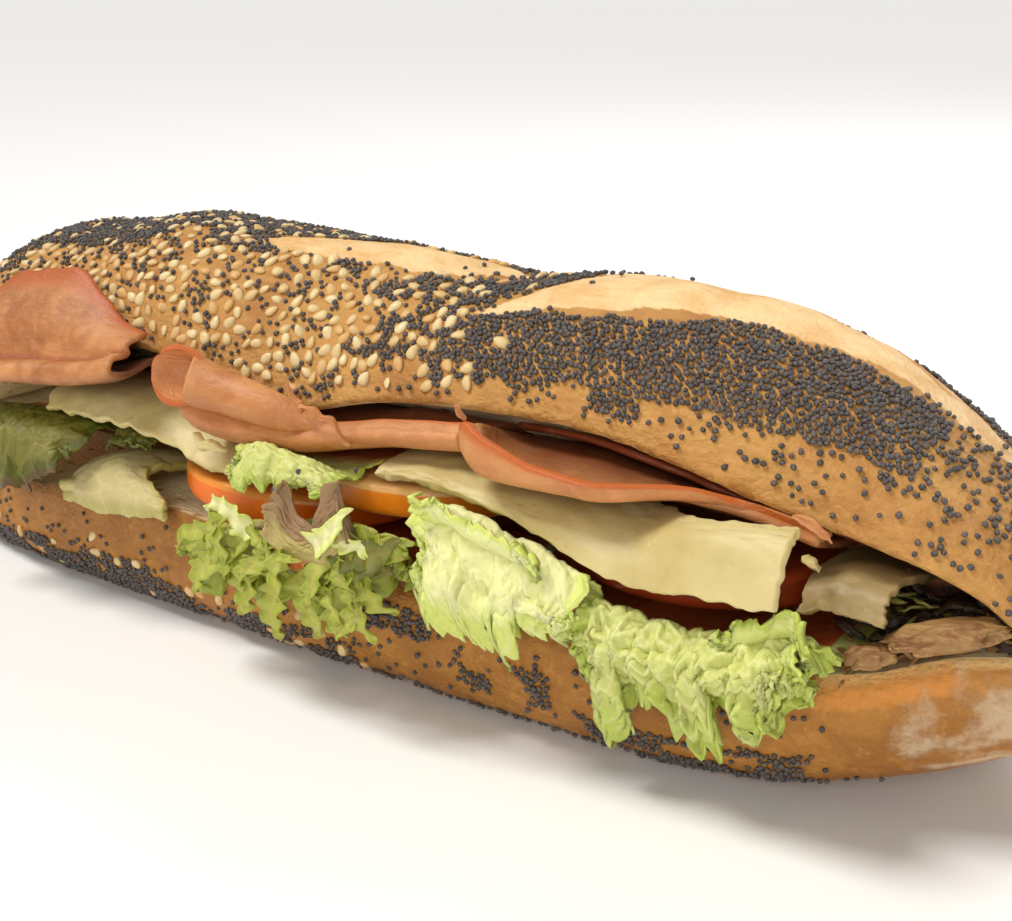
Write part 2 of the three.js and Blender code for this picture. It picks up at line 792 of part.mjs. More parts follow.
const sandwich = new THREE.Group();
for (const [name, solid, colour, roughness] of [
  ["bread_bottom", breadBottom, 0xc98f4e, 0.75],
  ["bread_top", breadTop, 0xd9a662, 0.75],
  ["ham_left", hamLeft, 0xd9876a, 0.45],
  ["ham_middle", hamMiddle, 0xd98f72, 0.45],
  ["ham_right", hamRight, 0xcc7a58, 0.45],
  ["ham_flat", hamFlat, 0xb56450, 0.5],
  ["cheese_left", cheeseLeft, 0xe6d8a6, 0.5],
  ["cheese_middle", cheeseMiddle, 0xeadf9f, 0.5],
  ["cheese_right", cheeseRight, 0xd8cba0, 0.5],
  ["tomato_left", tomatoLeft, 0xdd6a20, 0.35],
  ["tomato_middle", tomatoMiddle, 0xe07a2c, 0.35],
  ["tomato_right", tomatoRight, 0xb84a18, 0.35],
  ["lettuce_rib", leafRib, 0xdfe0a4, 0.5],
  ["lettuce_inner", leafInner, 0x8d9a4c, 0.5],
  ["lettuce_far_left", leafFarLeft, 0x8fa044, 0.5],
  ["lettuce_small", leafSmall, 0xb9c65c, 0.5],
  ["lettuce_red_tipped", leafRedTipped, 0x9aa850, 0.5],
  ["lettuce_red_lobe", leafRedLobe, 0x9a8560, 0.5],
  ["lettuce_curly_left", leafCurlyLeft, 0xd3de7c, 0.5],
  ["lettuce_curly_right", leafCurlyRight, 0xc4d672, 0.5],
  ["lettuce_dark", leafDark, 0x4a2a2a, 0.5],
  ["meat_strip", meatStrip, 0xb98a5c, 0.6],
  ["meat_scrap", meatScrap, 0xa05a42, 0.6],
])
  sandwich.add(meshOf(name, solid, colour, roughness));

// The filling spills out at the front only, so the middle of the whole lies ahead of the roll's
const box = new THREE.Box3().setFromObject(sandwich);
sandwich.position.y = -(box.min.y + box.max.y) / 2;

export default sandwich;
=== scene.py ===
import math
import bmesh
import bpy
import numpy as np
from mathutils import Matrix, Vector


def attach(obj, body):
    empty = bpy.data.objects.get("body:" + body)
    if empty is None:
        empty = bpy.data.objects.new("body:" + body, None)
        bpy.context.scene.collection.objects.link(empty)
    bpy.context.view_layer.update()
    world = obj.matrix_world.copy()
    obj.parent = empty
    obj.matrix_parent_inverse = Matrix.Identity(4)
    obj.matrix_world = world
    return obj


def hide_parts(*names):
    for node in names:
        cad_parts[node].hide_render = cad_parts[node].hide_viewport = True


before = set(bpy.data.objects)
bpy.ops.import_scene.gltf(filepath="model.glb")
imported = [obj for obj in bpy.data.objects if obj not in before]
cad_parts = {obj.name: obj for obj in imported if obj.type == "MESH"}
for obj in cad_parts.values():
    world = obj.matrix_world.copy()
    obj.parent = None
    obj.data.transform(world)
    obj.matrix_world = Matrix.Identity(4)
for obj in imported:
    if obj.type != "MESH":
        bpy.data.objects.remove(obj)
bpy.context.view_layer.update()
print("frame loaded:", len(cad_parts), "nodes")

# Lengths in the dictionaries are millimetres along the roll (x), front to back (y) and up (z).
# The filling spills out at the front, so the roll's own middle lies this far behind the whole's.
rollSetBack = 6.462


def toFrame(points):
    return (np.asarray(points, float) + (0, rollSetBack, 0)) * 0.001


def smooth(low, high, value):
    t = np.clip((value - low) / (high - low), 0, 1)
    return t * t * (3 - 2 * t)


def bell(value, centre, width):
    return np.exp(-(((value - centre) / width) ** 2))


def gate(value, low, high, soft):
    return smooth(low - soft, low + soft, value) * (1 - smooth(high - soft, high + soft, value))


def power(value, exponent):
    return np.sign(value) * np.abs(value) ** exponent


# a value that runs smoothly through (place, value) pairs and never swings past them
def along(x, keys):
    places, values = np.array(keys, float).T
    secants = np.diff(values) / np.diff(places)
    slopes = np.concatenate([secants[:1], secants])
    for i in range(1, len(secants)):
        before, after = secants[i - 1], secants[i]
        slopes[i] = 0 if before * after <= 0 else 2 * before * after / (before + after)
    place = np.clip(x, places[0], places[-1])
    i = np.clip(np.searchsorted(places, place), 1, len(places) - 1)
    span = places[i] - places[i - 1]
    t = (place - places[i - 1]) / span
    bow = span * t * (1 - t) * ((1 - t) * slopes[i - 1] - t * slopes[i])
    return values[i - 1] + (values[i] - values[i - 1]) * t * t * (3 - 2 * t) + bow


def chance(i, j, seed):
    wild = np.sin(i * 127.1 + j * 311.7 + seed * 74.7) * 43758.5453
    return wild - np.floor(wild)


def waviness(p, q, seed=0):  # soft uneven values from 0 to 1
    i, j = np.floor(p), np.floor(q)
    s, t = smooth(0, 1, p - i), smooth(0, 1, q - j)
    low = chance(i, j, seed) * (1 - s) + chance(i + 1, j, seed) * s
    high = chance(i, j + 1, seed) * (1 - s) + chance(i + 1, j + 1, seed) * s
    return low * (1 - t) + high * t


def unevenness(p, q, seed=0, layers=3):  # waviness with finer waviness on it, about -1 to 1
    total, size = 0, 1
    for layer in range(layers):
        total = total + (2 * waviness(p / size, q / size, seed + layer) - 1) * size
        size /= 2
    return total / 1.5


def netting(p, q, seed=0):  # 0 on the lines of an uneven net, about 0.6 in the middle of its cells
    i, j = np.floor(p), np.floor(q)
    nearest = np.full(np.broadcast(p, q).shape, 9.0)
    second = nearest.copy()
    for di in (-1, 0, 1):
        for dj in (-1, 0, 1):
            ci, cj = i + di, j + dj
            far = np.hypot(ci + chance(ci, cj, seed) - p, cj + chance(ci, cj, seed + 9) - q)
            second = np.minimum(second, np.maximum(nearest, far))
            nearest = np.minimum(nearest, far)
    return second - nearest


# shader expressions
def tint(red, green, blue):  # a colour as seen on screen
    return (*(((c / 255 + 0.055) / 1.055) ** 2.4 if c > 10 else c / 3295 for c in (red, green, blue)), 1)


class Value:
    def __init__(self, tree, socket):
        self.tree = tree
        self.socket = socket

    def maths(self, operation, *terms):
        node = self.tree.nodes.new("ShaderNodeMath")
        node.operation = operation
        for slot, term in zip(node.inputs, terms):
            connect(self.tree, slot, term)
        return Value(self.tree, node.outputs[0])

    def __add__(self, other):
        return self.maths("ADD", self, other)

    def __sub__(self, other):
        return self.maths("SUBTRACT", self, other)

    def __rsub__(self, other):
        return self.maths("SUBTRACT", other, self)

    def __mul__(self, other):
        return self.maths("MULTIPLY", self, other)

    __radd__ = __add__
    __rmul__ = __mul__


def connect(tree, slot, term):
    if isinstance(term, Value):
        tree.links.new(term.socket, slot)
    else:
        slot.default_value = term


class Finish:
    def __init__(self, name):
        self.material = bpy.data.materials.new(name)
        self.material.use_nodes = True
        self.tree = self.material.node_tree
        self.shader = self.tree.nodes["Principled BSDF"]

    def add(self, kind, settings=None, sockets=None, out=0):
        node = self.tree.nodes.new("ShaderNode" + kind)
        for key, value in (settings or {}).items():
            if key == "stops":
                while len(node.color_ramp.elements) < len(value):
                    node.color_ramp.elements.new(0.5)
                for element, (place, colour) in zip(node.color_ramp.elements, value):
                    element.position = place
                    element.color = colour
            else:
                setattr(node, key, value)
        for key, term in (sockets or {}).items():
            connect(self.tree, node.inputs[key], term)
        return Value(self.tree, node.outputs[out])

    def place(self):
        return self.add("TexCoord", out="Object")

    def mark(self, name):
        return self.add("Attribute", {"attribute_name": name}, out="Fac")

    def stretched(self, vector, scale):
        return self.add("Mapping", {}, {"Vector": vector, "Scale": scale})

    def noise(self, vector, scale, detail=3, roughness=0.55, distortion=0):
        return self.add("TexNoise", {}, {"Vector": vector, "Scale": scale, "Detail": detail,
                                         "Roughness": roughness, "Distortion": distortion})

    def cells(self, vector, scale):  # how far the nearest of many scattered points is
        return self.add("TexVoronoi", {"feature": "F1"}, {"Vector": vector, "Scale": scale}, "Distance")

    def spread(self, value, low, high):  # 0 below low, 1 above high
        return self.add("MapRange", {"interpolation_type": "SMOOTHSTEP"},
                        {"Value": value, "From Min": low, "From Max": high})

    def blend(self, share, first, second):
        return self.add("Mix", {"data_type": "RGBA"}, {0: share, 6: first, 7: second}, out=2)

    def bump(self, height, strength, distance):
        return self.add("Bump", {}, {"Height": height, "Strength": strength, "Distance": distance})

    def finish(self, **sockets):
        for key, term in sockets.items():
            connect(self.tree, self.shader.inputs[key.replace("_", " ")], term)
        return self.material


# meshes
def meshFrom(bm, name):
    mesh = bpy.data.meshes.new(name)
    bm.to_mesh(mesh)
    bm.free()
    return mesh


def cornersOf(mesh):
    flat = np.zeros(len(mesh.vertices) * 3)
    mesh.vertices.foreach_get("co", flat)
    return flat.reshape(-1, 3)


def moveCorners(mesh, points):
    mesh.vertices.foreach_set("co", np.asarray(points, float).ravel())
    mesh.update()


def markCorners(mesh, name, values):
    layer = mesh.attributes.new(name, "FLOAT", "POINT")
    layer.data.foreach_set("value", np.ascontiguousarray(values, dtype=np.float32).ravel())


def pieceFrom(mesh, name, material, slot, *nodes, thickness=0, rounding=0):
    piece = bpy.data.objects.new(name, mesh)
    bpy.context.scene.collection.objects.link(piece)
    mesh.materials.append(material)
    mesh.shade_smooth()
    if thickness:
        solidify = piece.modifiers.new("thickness", "SOLIDIFY")
        solidify.thickness = thickness * 0.001
        solidify.offset = 0
    if rounding:
        rounder = piece.modifiers.new("rounding", "SUBSURF")
        rounder.levels = rounder.render_levels = rounding
    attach(piece, "root")
    if nodes:
        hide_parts(*nodes)


# the roll's outline
roll = {
    "halfLength": 145,
    "halfWidth": 36,
    "endRounding": 16,
    "cut": [(-145, 25), (-120, 21.5), (-80, 21.5), (-50, 25.4), (0, 22.6), (80, 22.4), (100, 25.7),
            (115, 31), (145, 34)],
    "crown": [(-145, 17), (-125, 24), (-100, 31), (-72, 31.6), (-40, 29.4), (-8, 29.5), (22, 26.8),
              (48, 29), (72, 29), (88, 26), (100, 20.4), (115, 11.8), (145, 7)],
    "underside": [(-145, 6), (-125, 1), (-112, 0), (62, 0), (90, 2.5), (108, 8), (124, 15), (145, 23)],
    "lift": [(-145, 0), (-132, 0), (-122, 8), (-100, 18), (-60, 21), (20, 24), (50, 25), (80, 22),
             (100, 17), (115, 8.5), (127, 0), (145, 0)],
    "around": 160,  # faces round a half
    "crustShare": 116,  # how many of them are crust; the rest are its cut face
    "lengthways": 400,
}


def widthAt(x):
    reach = np.abs(x / roll["halfLength"]) ** np.where(x > 0, 2.9, 4)
    return roll["halfWidth"] * np.sqrt(np.maximum(0, 1 - reach))


def endAt(x):
    inside = (roll["halfLength"] - np.abs(x)) / roll["endRounding"]
    return np.sqrt(np.maximum(0, 1 - np.maximum(0, 1 - inside) ** 2))


def cutAt(x):
    return along(x, roll["cut"])


def undersideAt(x):
    return cutAt(x) - (cutAt(x) - along(x, roll["underside"])) * endAt(x)


def backGapAt(x):
    return 0.45 + 8.1 * along(x, roll["lift"]) / 25


def tiltAt(x):
    return np.arcsin(along(x, roll["lift"]) / (2 * roll["halfWidth"]))


def rimSagAt(x):
    return 5.2 * bell(x, -8, 17)


def over(x, rise):
    return cutAt(x) + rise


def under(x, y, drop):
    return cutAt(x) + backGapAt(x) + (widthAt(x) - y) * np.tan(tiltAt(x)) - drop


def crustFront(x, z):  # how far forward the lower crust reaches at height z
    depth = np.clip((cutAt(x) - z) / (cutAt(x) - undersideAt(x)), 0, 1)
    return -widthAt(x) * np.sqrt(np.maximum(0, 1 - depth ** (2 / 0.48))) ** 0.38


slashes = [  # start, end, turn from, turn to, swell
    (24, 126, 0.55, 1.75, 2.2),
    (-34, 30, 0.92, 1.25, 1.6),
    (-120, -30, 1.35, 1.9, 1.4),
]
bareStrips = [  # lower and upper edge of the strip, as turns, along the roll
    ([(24, 0.56), (35, 0.6), (50, 0.68), (70, 0.87), (90, 1.12), (112, 1.46), (126, 1.75)],
     [(24, 0.56), (29, 0.68), (36, 0.9), (43, 1.25), (52, 1.75), (92, 1.72), (104, 1.62), (126, 1.75)]),
    ([(-34, 0.94), (-25, 0.88), (-10, 0.87), (6, 0.89), (20, 1.06), (28, 1.18)],
     [(-34, 0.94), (-25, 1.06), (-10, 1.18), (6, 1.32), (20, 1.27), (28, 1.18)]),
    ([(-120, 1.35), (-60, 1.52), (-30, 1.9)], [(-120, 1.35), (-60, 1.9), (-30, 1.9)]),
]


def bareAt(x, turn):
    spot = turn + 0.035 * unevenness(x / 4, turn * 9, 3)
    bare = 0
    for low, high in bareStrips:
        bottom, top = along(x, low), along(x, high)
        wide = smooth(0.01, 0.06, top - bottom)
        inside = smooth(bottom - 0.02, bottom + 0.02, spot) * (1 - smooth(top - 0.02, top + 0.02, spot))
        bare = np.maximum(bare, wide * inside)
    return bare


def upperCrust(x, turn):
    relief = 0
    for start, end, first, last, swell in slashes:
        t = np.clip((x - start) / (end - start), 0, 1)
        relief = relief + swell * np.sin(np.pi * t) * bell(turn, first + (last - first) * t, 0.24)
    inside = np.abs(np.sin(turn))
    lumps = 0.55 * unevenness(x / 13, turn * 2.6, 1) * smooth(0, 0.35, inside) * endAt(x)
    rise = (along(x, roll["crown"]) * endAt(x) + relief) * inside ** 0.85 + lumps
    sag = rimSagAt(x) * np.maximum(0, np.cos(turn)) ** 4
    ragged = 0.75 * unevenness(x / 2.2, turn * 14, 9, 4) * (1 - smooth(0.04, 0.16, turn)) * endAt(x)
    return tilted(x, widthAt(x) * (1 + power(np.cos(turn), 0.9)) + ragged, rise - sag + 0.4 * ragged)


def tilted(x, forward, rise):
    tilt = tiltAt(x)
    y = widthAt(x) - forward * np.cos(tilt) + rise * np.sin(tilt)
    z = cutAt(x) + backGapAt(x) + forward * np.sin(tilt) + rise * np.cos(tilt)
    return np.stack([x + 0 * y, y, z], -1)


def lowerCrust(x, turn):
    depth = cutAt(x) - undersideAt(x)
    sink = 1.06 * np.abs(np.sin(turn)) ** 0.48
    z = np.maximum(undersideAt(x), cutAt(x) - depth * sink)
    side = smooth(0.1, 0.5, np.abs(np.sin(turn))) * (1 - smooth(0.8, 0.97, np.abs(np.sin(turn))))
    lumps = 0.5 * unevenness(x / 9, turn * 3, 5) * side * endAt(x)
    y = -(widthAt(x) + lumps) * power(np.cos(turn), 0.38)
    return np.stack([x + 0 * y, y, z], -1)


def upperCut(x, share):
    forward = 2 * widthAt(x) * share
    inset = -(0.9 + 1.3 * bell(x, 38, 14)) * gate(share, 0.08, 0.86, 0.06) * gate(x, -112, 108, 8)
    pores = 0.35 * unevenness(x / 2.5, forward / 2.5, 7) * gate(share, 0.05, 0.95, 0.03) * endAt(x)
    sag = rimSagAt(x) * smooth(0.84, 1, share)
    return tilted(x, forward, inset + pores - sag)


def lowerCut(x, share):
    y = widthAt(x) * (1 - 2 * share)
    dip = 0.4 * smooth(0, 0.05, share) * (1 - smooth(0.95, 1, share))
    pores = 0.35 * unevenness(x / 2.5, y / 2.5, 8) * gate(share, 0.05, 0.95, 0.03) * endAt(x)
    return np.stack([x + 0 * y, y, cutAt(x) - dip + pores], -1)


def rollHalf(name, crust, cutFace, marks, material, slot, node):
    bm = bmesh.new()
    bmesh.ops.create_uvsphere(bm, u_segments=roll["around"], v_segments=roll["lengthways"], radius=1)
    mesh = meshFrom(bm, name)
    ball = cornersOf(mesh)
    x = roll["halfLength"] * np.clip(ball[:, 2], -1, 1)
    step = np.round(np.arctan2(ball[:, 1], ball[:, 0]) / (2 * np.pi) * roll["around"]) % roll["around"]
    onCrust = step <= roll["crustShare"]
    turn = np.pi * np.minimum(1, step / roll["crustShare"])
    share = np.clip((step - roll["crustShare"]) / (roll["around"] - roll["crustShare"]), 0, 1)
    moveCorners(mesh, toFrame(np.where(onCrust[:, None], crust(x, turn), cutFace(x, share))))
    bm = bmesh.new()
    bm.from_mesh(mesh)
    bmesh.ops.recalc_face_normals(bm, faces=bm.faces)
    bm.to_mesh(mesh)
    bm.free()
    for key, value in marks(x, turn).items():
        markCorners(mesh, key, np.where(onCrust, value, 0))
    markCorners(mesh, "crumb", np.where(onCrust, 0.0, 1.0))
    pieceFrom(mesh, name, material, slot, node)


def upperMarks(x, turn):
    bake = 0.35 + 0.35 * unevenness(x / 20, turn * 1.5, 11) + 0.3 * smooth(1.2, 2.2, turn)
    ear = bell(turn, along(x, [(60, 1.3), (80, 1.36), (96, 1.5)]), 0.07) * gate(x, 74, 100, 4)
    return {"bare": bareAt(x, turn), "bake": bake, "ear": ear, "flour": 0 * x}


def lowerMarks(x, turn):
    bake = 0.55 + 0.3 * unevenness(x / 15, turn * 2, 12) + 0.3 * smooth(0.5, 1.1, turn)
    flour = smooth(100, 112, x) * (0.5 + 0.6 * unevenness(x / 6, turn * 5, 13))
    rim = gate(x, 94, 132, 3) * (1 - smooth(0, 0.02, turn))
    ear = gate(x, 94, 116, 4) * bell(turn, 0.035, 0.035) * 0.8
    return {"bare": 0.9 * rim, "bake": bake, "ear": ear, "flour": np.clip(flour, 0, 1)}


def crustFinish(name, golden, brown, pale):
    f = Finish(name)
    place = f.place()
    bare, bake, flour, crumb, ear = (f.mark(n) for n in ("bare", "bake", "flour", "crumb", "ear"))
    mottle = f.noise(place, 90, 5, 0.6, 0.4)
    fine = f.noise(place, 520, 4, 0.65)
    colour = f.blend(f.spread(bake + (mottle - 0.5) * 1.2, 0.1, 0.95), golden, brown)
    colour = f.blend(f.spread(fine, 0.52, 0.72) * 0.35, colour, tint(216, 164, 84))
    strip = f.spread(bare + (mottle - 0.5) * 0.35, 0.3, 0.75)
    stripColour = f.blend(f.spread(mottle, 0.35, 0.7), pale, tint(228, 178, 112))
    colour = f.blend(strip, colour, stripColour)
    colour = f.blend(f.spread(ear + (fine - 0.5) * 0.8, 0.2, 0.8), colour, tint(214, 140, 60))
    dust = f.spread(flour + (f.noise(place, 240, 5, 0.7) - 0.5) * 1.3, 0.25, 0.8)
    colour = f.blend(dust * 0.7, colour, tint(214, 190, 158))
    holes = f.cells(f.stretched(place, (0.7, 1, 1)), 330)
    pores = f.spread(holes + f.noise(place, 700) * 0.3, 0.22, 0.5)
    inside = f.blend(pores, tint(204, 166, 110), tint(243, 226, 184))
    colour = f.blend(crumb, colour, inside)
    wrinkles = f.noise(f.stretched(place, (0.6, 1.5, 1.5)), 380, 6, 0.7, 0.6)
    height = wrinkles + f.noise(place, 1300, 3) * 0.35 + f.cells(place, 900) * 0.3 + pores * crumb * 1.5
    return f.finish(
        Base_Color=colour,
        Roughness=0.56 - bake * 0.14 + crumb * 0.2 + (fine - 0.5) * 0.2,
        Normal=f.bump(height + dust * 0.8, 0.6, 0.0012),
        Specular_IOR_Level=0.4,
    )


upperFinish = crustFinish("seeded_crust", tint(198, 146, 76), tint(162, 102, 42), tint(246, 210, 154))
lowerFinish = crustFinish("lower_crust", tint(192, 132, 54), tint(152, 96, 32), tint(230, 184, 108))
rollHalf("roll_top", upperCrust, upperCut, upperMarks, upperFinish, "crust_upper", "bread_top")
rollHalf("roll_bottom", lowerCrust, lowerCut, lowerMarks, lowerFinish, "crust_lower", "bread_bottom")
print("roll built")


# seeds
def poppyOnTop(x, turn):
    low = along(x, [(25, 0.11), (45, 0.15), (60, 0.2), (70, 0.25), (80, 0.3), (90, 0.4), (100, 0.5),
                    (112, 0.65)])
    high = along(x, [(25, 0.62), (45, 0.6), (60, 0.68), (70, 0.85), (80, 0.95), (90, 1.1), (98, 1.15),
                     (106, 1.3)])
    ragged = 0.03 * unevenness(x / 3, turn * 12, 21)
    clumps = waviness(x / 5, turn * 7, 22)
    band = gate(x, 25, 104, 3) * gate(turn + ragged, low, high, 0.03)
    scattered = gate(x, 26, 122, 4) * (0.1 + 0.25 * clumps * smooth(75, 105, x)) * (turn < low)
    fringed = gate(x, 40, 112, 6) * gate(turn, low - 0.17, low, 0.04)
    fringed = fringed * (0.12 + 0.75 * smooth(0.4, 0.75, clumps))
    rightEnd = 0.42 * gate(x, 98, 136, 5) * smooth(0.3, 0.9, turn)
    horizon = gate(x, -128, 2, 8) * gate(turn + 2 * ragged, 0.98, 1.5, 0.08)
    patch = gate(x, -32, -3, 4) * gate(turn, 0.98, 1.25, 0.04)
    saddle = gate(x, 14, 46, 3) * bell(turn, 0.82 + (x - 15) * 0.0075, 0.15)
    corner = gate(x, 8, 27, 3) * gate(turn + ragged, 0.64, 0.92, 0.05)
    left = gate(x, -128, -55, 6) * smooth(0.62, 0.85, turn) * 0.85
    mixed = gate(x, -128, 30, 8) * (0.22 + 0.2 * smooth(-45, -70, x) + 0.78 * smooth(0.4, 0.75, clumps))
    lipClumps = gate(x, -30, 22, 5) * gate(turn, 0.12, 0.4, 0.06) * smooth(0.4, 0.7, clumps)
    back = smooth(1.3, 1.6, turn) * (0.2 + 0.75 * smooth(0.3, 0.7, waviness(x / 17, turn * 2.3, 23)))
    wanted = np.maximum.reduce([band, scattered, fringed, rightEnd, horizon, patch, saddle, corner, left,
                                mixed, 0.8 * lipClumps, back])
    return wanted * (1 - 0.985 * bareAt(x, turn)) * smooth(0.02, 0.1, turn)


def sesameOnTop(x, turn):
    amount = along(x, [(-130, 0.2), (-75, 0.35), (-50, 0.85), (-20, 1), (18, 0.9), (27, 0.15), (36, 0)])
    height = gate(turn, 0.1, 0.82, 0.06) * (0.55 + 0.45 * bell(turn, 0.35, 0.3))
    crownOnes = 0.3 * gate(turn, 0.8, 1.4, 0.1) + 0.22 * smooth(1.4, 1.6, turn)
    trio = gate(x, 24, 34, 2) * gate(turn, 0.1, 0.24, 0.04)
    return np.maximum(amount * (height + crownOnes), trio * 0.9) * (1 - 0.96 * bareAt(x, turn))


def poppyBelow(x, turn):
    front = np.where(turn < np.pi / 2, turn, np.pi - turn)
    clumps = waviness(x / 6, front * 6, 24)
    left = gate(x, -112, -34, 6) * gate(front, 0.28, 0.95, 0.08) * smooth(0.25, 0.5, clumps)
    middle = gate(x, -24, 8, 4) * gate(front, 0.36, 0.9, 0.06) * smooth(0.2, 0.45, clumps)
    rimPatch = gate(x, 10, 27, 3) * gate(front, 0.02, 0.13, 0.03)
    spots = gate(x, 32, 52, 3) * gate(front, 0.1, 0.42, 0.05) * smooth(0.5, 0.62, clumps)
    right = gate(x, 56, 93, 5) * gate(front, 0.36, 0.95, 0.06) * smooth(0.25, 0.5, clumps)
    low = gate(x, -125, 100, 6) * smooth(0.7, 0.85, front) * 0.45
    stray = 0.035 * gate(x, -125, 96, 6)
    wanted = np.maximum.reduce([0.9 * left, middle, 0.9 * rimPatch, 0.7 * spots, 0.9 * right, low, stray])
    return wanted * (front < 0.92)


def sesameBelow(x, turn):
    front = np.where(turn < np.pi / 2, turn, np.pi - turn)
    return gate(x, -125, 12, 6) * gate(front, 0.12, 0.8, 0.06) * (0.25 + 0.5 * (turn > 2))


# how big a seed is along, across and through, how deep it sits, how high seeds pile up and how much
# narrower one end is
seedKinds = {
    "poppy": {"size": (1.16, 1.0, 0.85), "faces": 1, "sunk": 0.15, "pile": 0.45, "taper": 0.12},
    "sesame": {"size": (2.8, 1.9, 1.05), "faces": 2, "sunk": 0.08, "pile": 0.1, "taper": 0.28},
}
neighbourhood = 1.7  # seeds are tested against those in boxes of this size
widestTurn = 42  # the crust's length round for one unit of turn where it is widest


def seedPlaces(band, taken, random):
    crust, apart, tries = band["crust"], band["apart"], band["tries"]
    x = random.uniform(*band["ends"], tries)
    turn = random.uniform(*band["turns"], tries)
    spot = crust(x, turn)
    around = np.linalg.norm(crust(x, turn + 0.02) - crust(x, turn - 0.02), axis=-1) / 0.04
    share = band["share"](x, turn)
    if "above" in band:
        share = share > band["above"]
    kept = random.uniform(0, 1, tries) < share * np.minimum(1, around / widestTurn)
    chosen = []
    for i in np.flatnonzero(kept):
        cell = tuple(np.floor(spot[i] / neighbourhood).astype(int))
        near = [
            other
            for a in (-1, 0, 1) for b in (-1, 0, 1) for c in (-1, 0, 1)
            for other in taken.get((cell[0] + a, cell[1] + b, cell[2] + c), ())
        ]
        if any(math.dist(spot[i], place) < (apart + reach) / 2 for place, reach in near):
            continue
        taken.setdefault(cell, []).append((tuple(spot[i]), apart))
        chosen.append(i)
    return x[chosen], turn[chosen]


def manyBalls(count, faces):  # that many small balls in one mesh, one after the other
    whole = bmesh.new()
    for batch in [100] * (count // 100) + [count % 100]:
        if not batch:
            continue
        part = bmesh.new()
        for _ in range(batch):
            bmesh.ops.create_icosphere(part, subdivisions=faces, radius=1)
        mesh = meshFrom(part, "batch")
        whole.from_mesh(mesh)
        bpy.data.meshes.remove(mesh)
    return meshFrom(whole, "seeds")


def seedPiece(name, band, x, turn, random):
    settings, crust = seedKinds[band["kind"]], band["crust"]
    count = len(x)
    mesh = manyBalls(count, settings["faces"])
    balls = cornersOf(mesh).reshape(count, -1, 3)
    spot = crust(x, turn)
    lengthways = crust(x + 0.5, turn) - crust(x - 0.5, turn)
    around = crust(x, turn + 0.01) - crust(x, turn - 0.01)
    lengthways /= np.linalg.norm(lengthways, axis=-1, keepdims=True)
    normal = np.cross(lengthways, around)
    normal /= np.linalg.norm(normal, axis=-1, keepdims=True)
    core = 8 if crust is upperCrust else -6  # the half's middle, above or below the cut
    outward = spot - np.stack([x, 0 * x, cutAt(x) + core], -1)
    normal *= np.sign((normal * outward).sum(-1, keepdims=True))
    normal += random.normal(0, 0.22, normal.shape)
    normal /= np.linalg.norm(normal, axis=-1, keepdims=True)
    heading = random.normal(0, 1, normal.shape)
    long = heading - normal * (heading * normal).sum(-1, keepdims=True)
    long /= np.linalg.norm(long, axis=-1, keepdims=True)
    wide = np.cross(normal, long)
    size = np.array(settings["size"]) / 2 * random.normal(1, 0.09, (count, 1))
    taper = 1 - settings["taper"] * balls[..., :1]
    body = balls * np.concatenate([np.ones_like(taper), taper, taper], -1)
    body = body * size[:, None, :]
    lift = settings["sunk"] * size[:, 2:] * 2 + settings["pile"] * random.uniform(0, 1, (count, 1)) ** 2
    placed = (spot + normal * lift)[:, None] + body[..., :1] * long[:, None]
    placed = placed + body[..., 1:2] * wide[:, None] + body[..., 2:] * normal[:, None]
    moveCorners(mesh, toFrame(placed.reshape(-1, 3)))
    markCorners(mesh, "shade", np.repeat(random.uniform(0, 1, count), balls.shape[1]))
    pieceFrom(mesh, name, shines[band["kind"]], band["slot"])


def poppyFinish():
    f = Finish("poppy_seed")
    shade = f.mark("shade")
    pits = f.cells(f.place(), 4200)
    colour = f.add("ValToRGB", {"stops": [(0, tint(26, 22, 20)), (0.5, tint(46, 40, 38)),
                                          (0.85, tint(80, 74, 70)), (1, tint(96, 62, 40))]}, {0: shade})
    # the seed's own pitted net pattern, lightened to a grey that also paints glints
    colour = f.blend(f.spread(pits, 0.2, 0.7) * 0.5, colour, tint(122, 116, 114))
    return f.finish(Base_Color=colour, Roughness=0.42 + shade * 0.2, Normal=f.bump(pits, 0.5, 0.0002))


def sesameFinish():
    f = Finish("sesame_seed")
    shade = f.mark("shade")
    colour = f.add("ValToRGB", {"stops": [(0, tint(228, 206, 156)), (0.6, tint(212, 184, 128)),
                                          (1, tint(206, 160, 96))]}, {0: shade})
    colour = f.blend(f.spread(f.noise(f.place(), 900, 3), 0.5, 0.8) * 0.4, colour, tint(206, 156, 88))
    return f.finish(Base_Color=colour, Roughness=0.42 + shade * 0.15, Subsurface_Weight=0.15,
                    Subsurface_Scale=0.001,
                    Normal=f.bump(f.noise(f.place(), 1800, 2), 0.25, 0.0002))


random = np.random.default_rng(2051)
shines = {"poppy": poppyFinish(), "sesame": sesameFinish()}
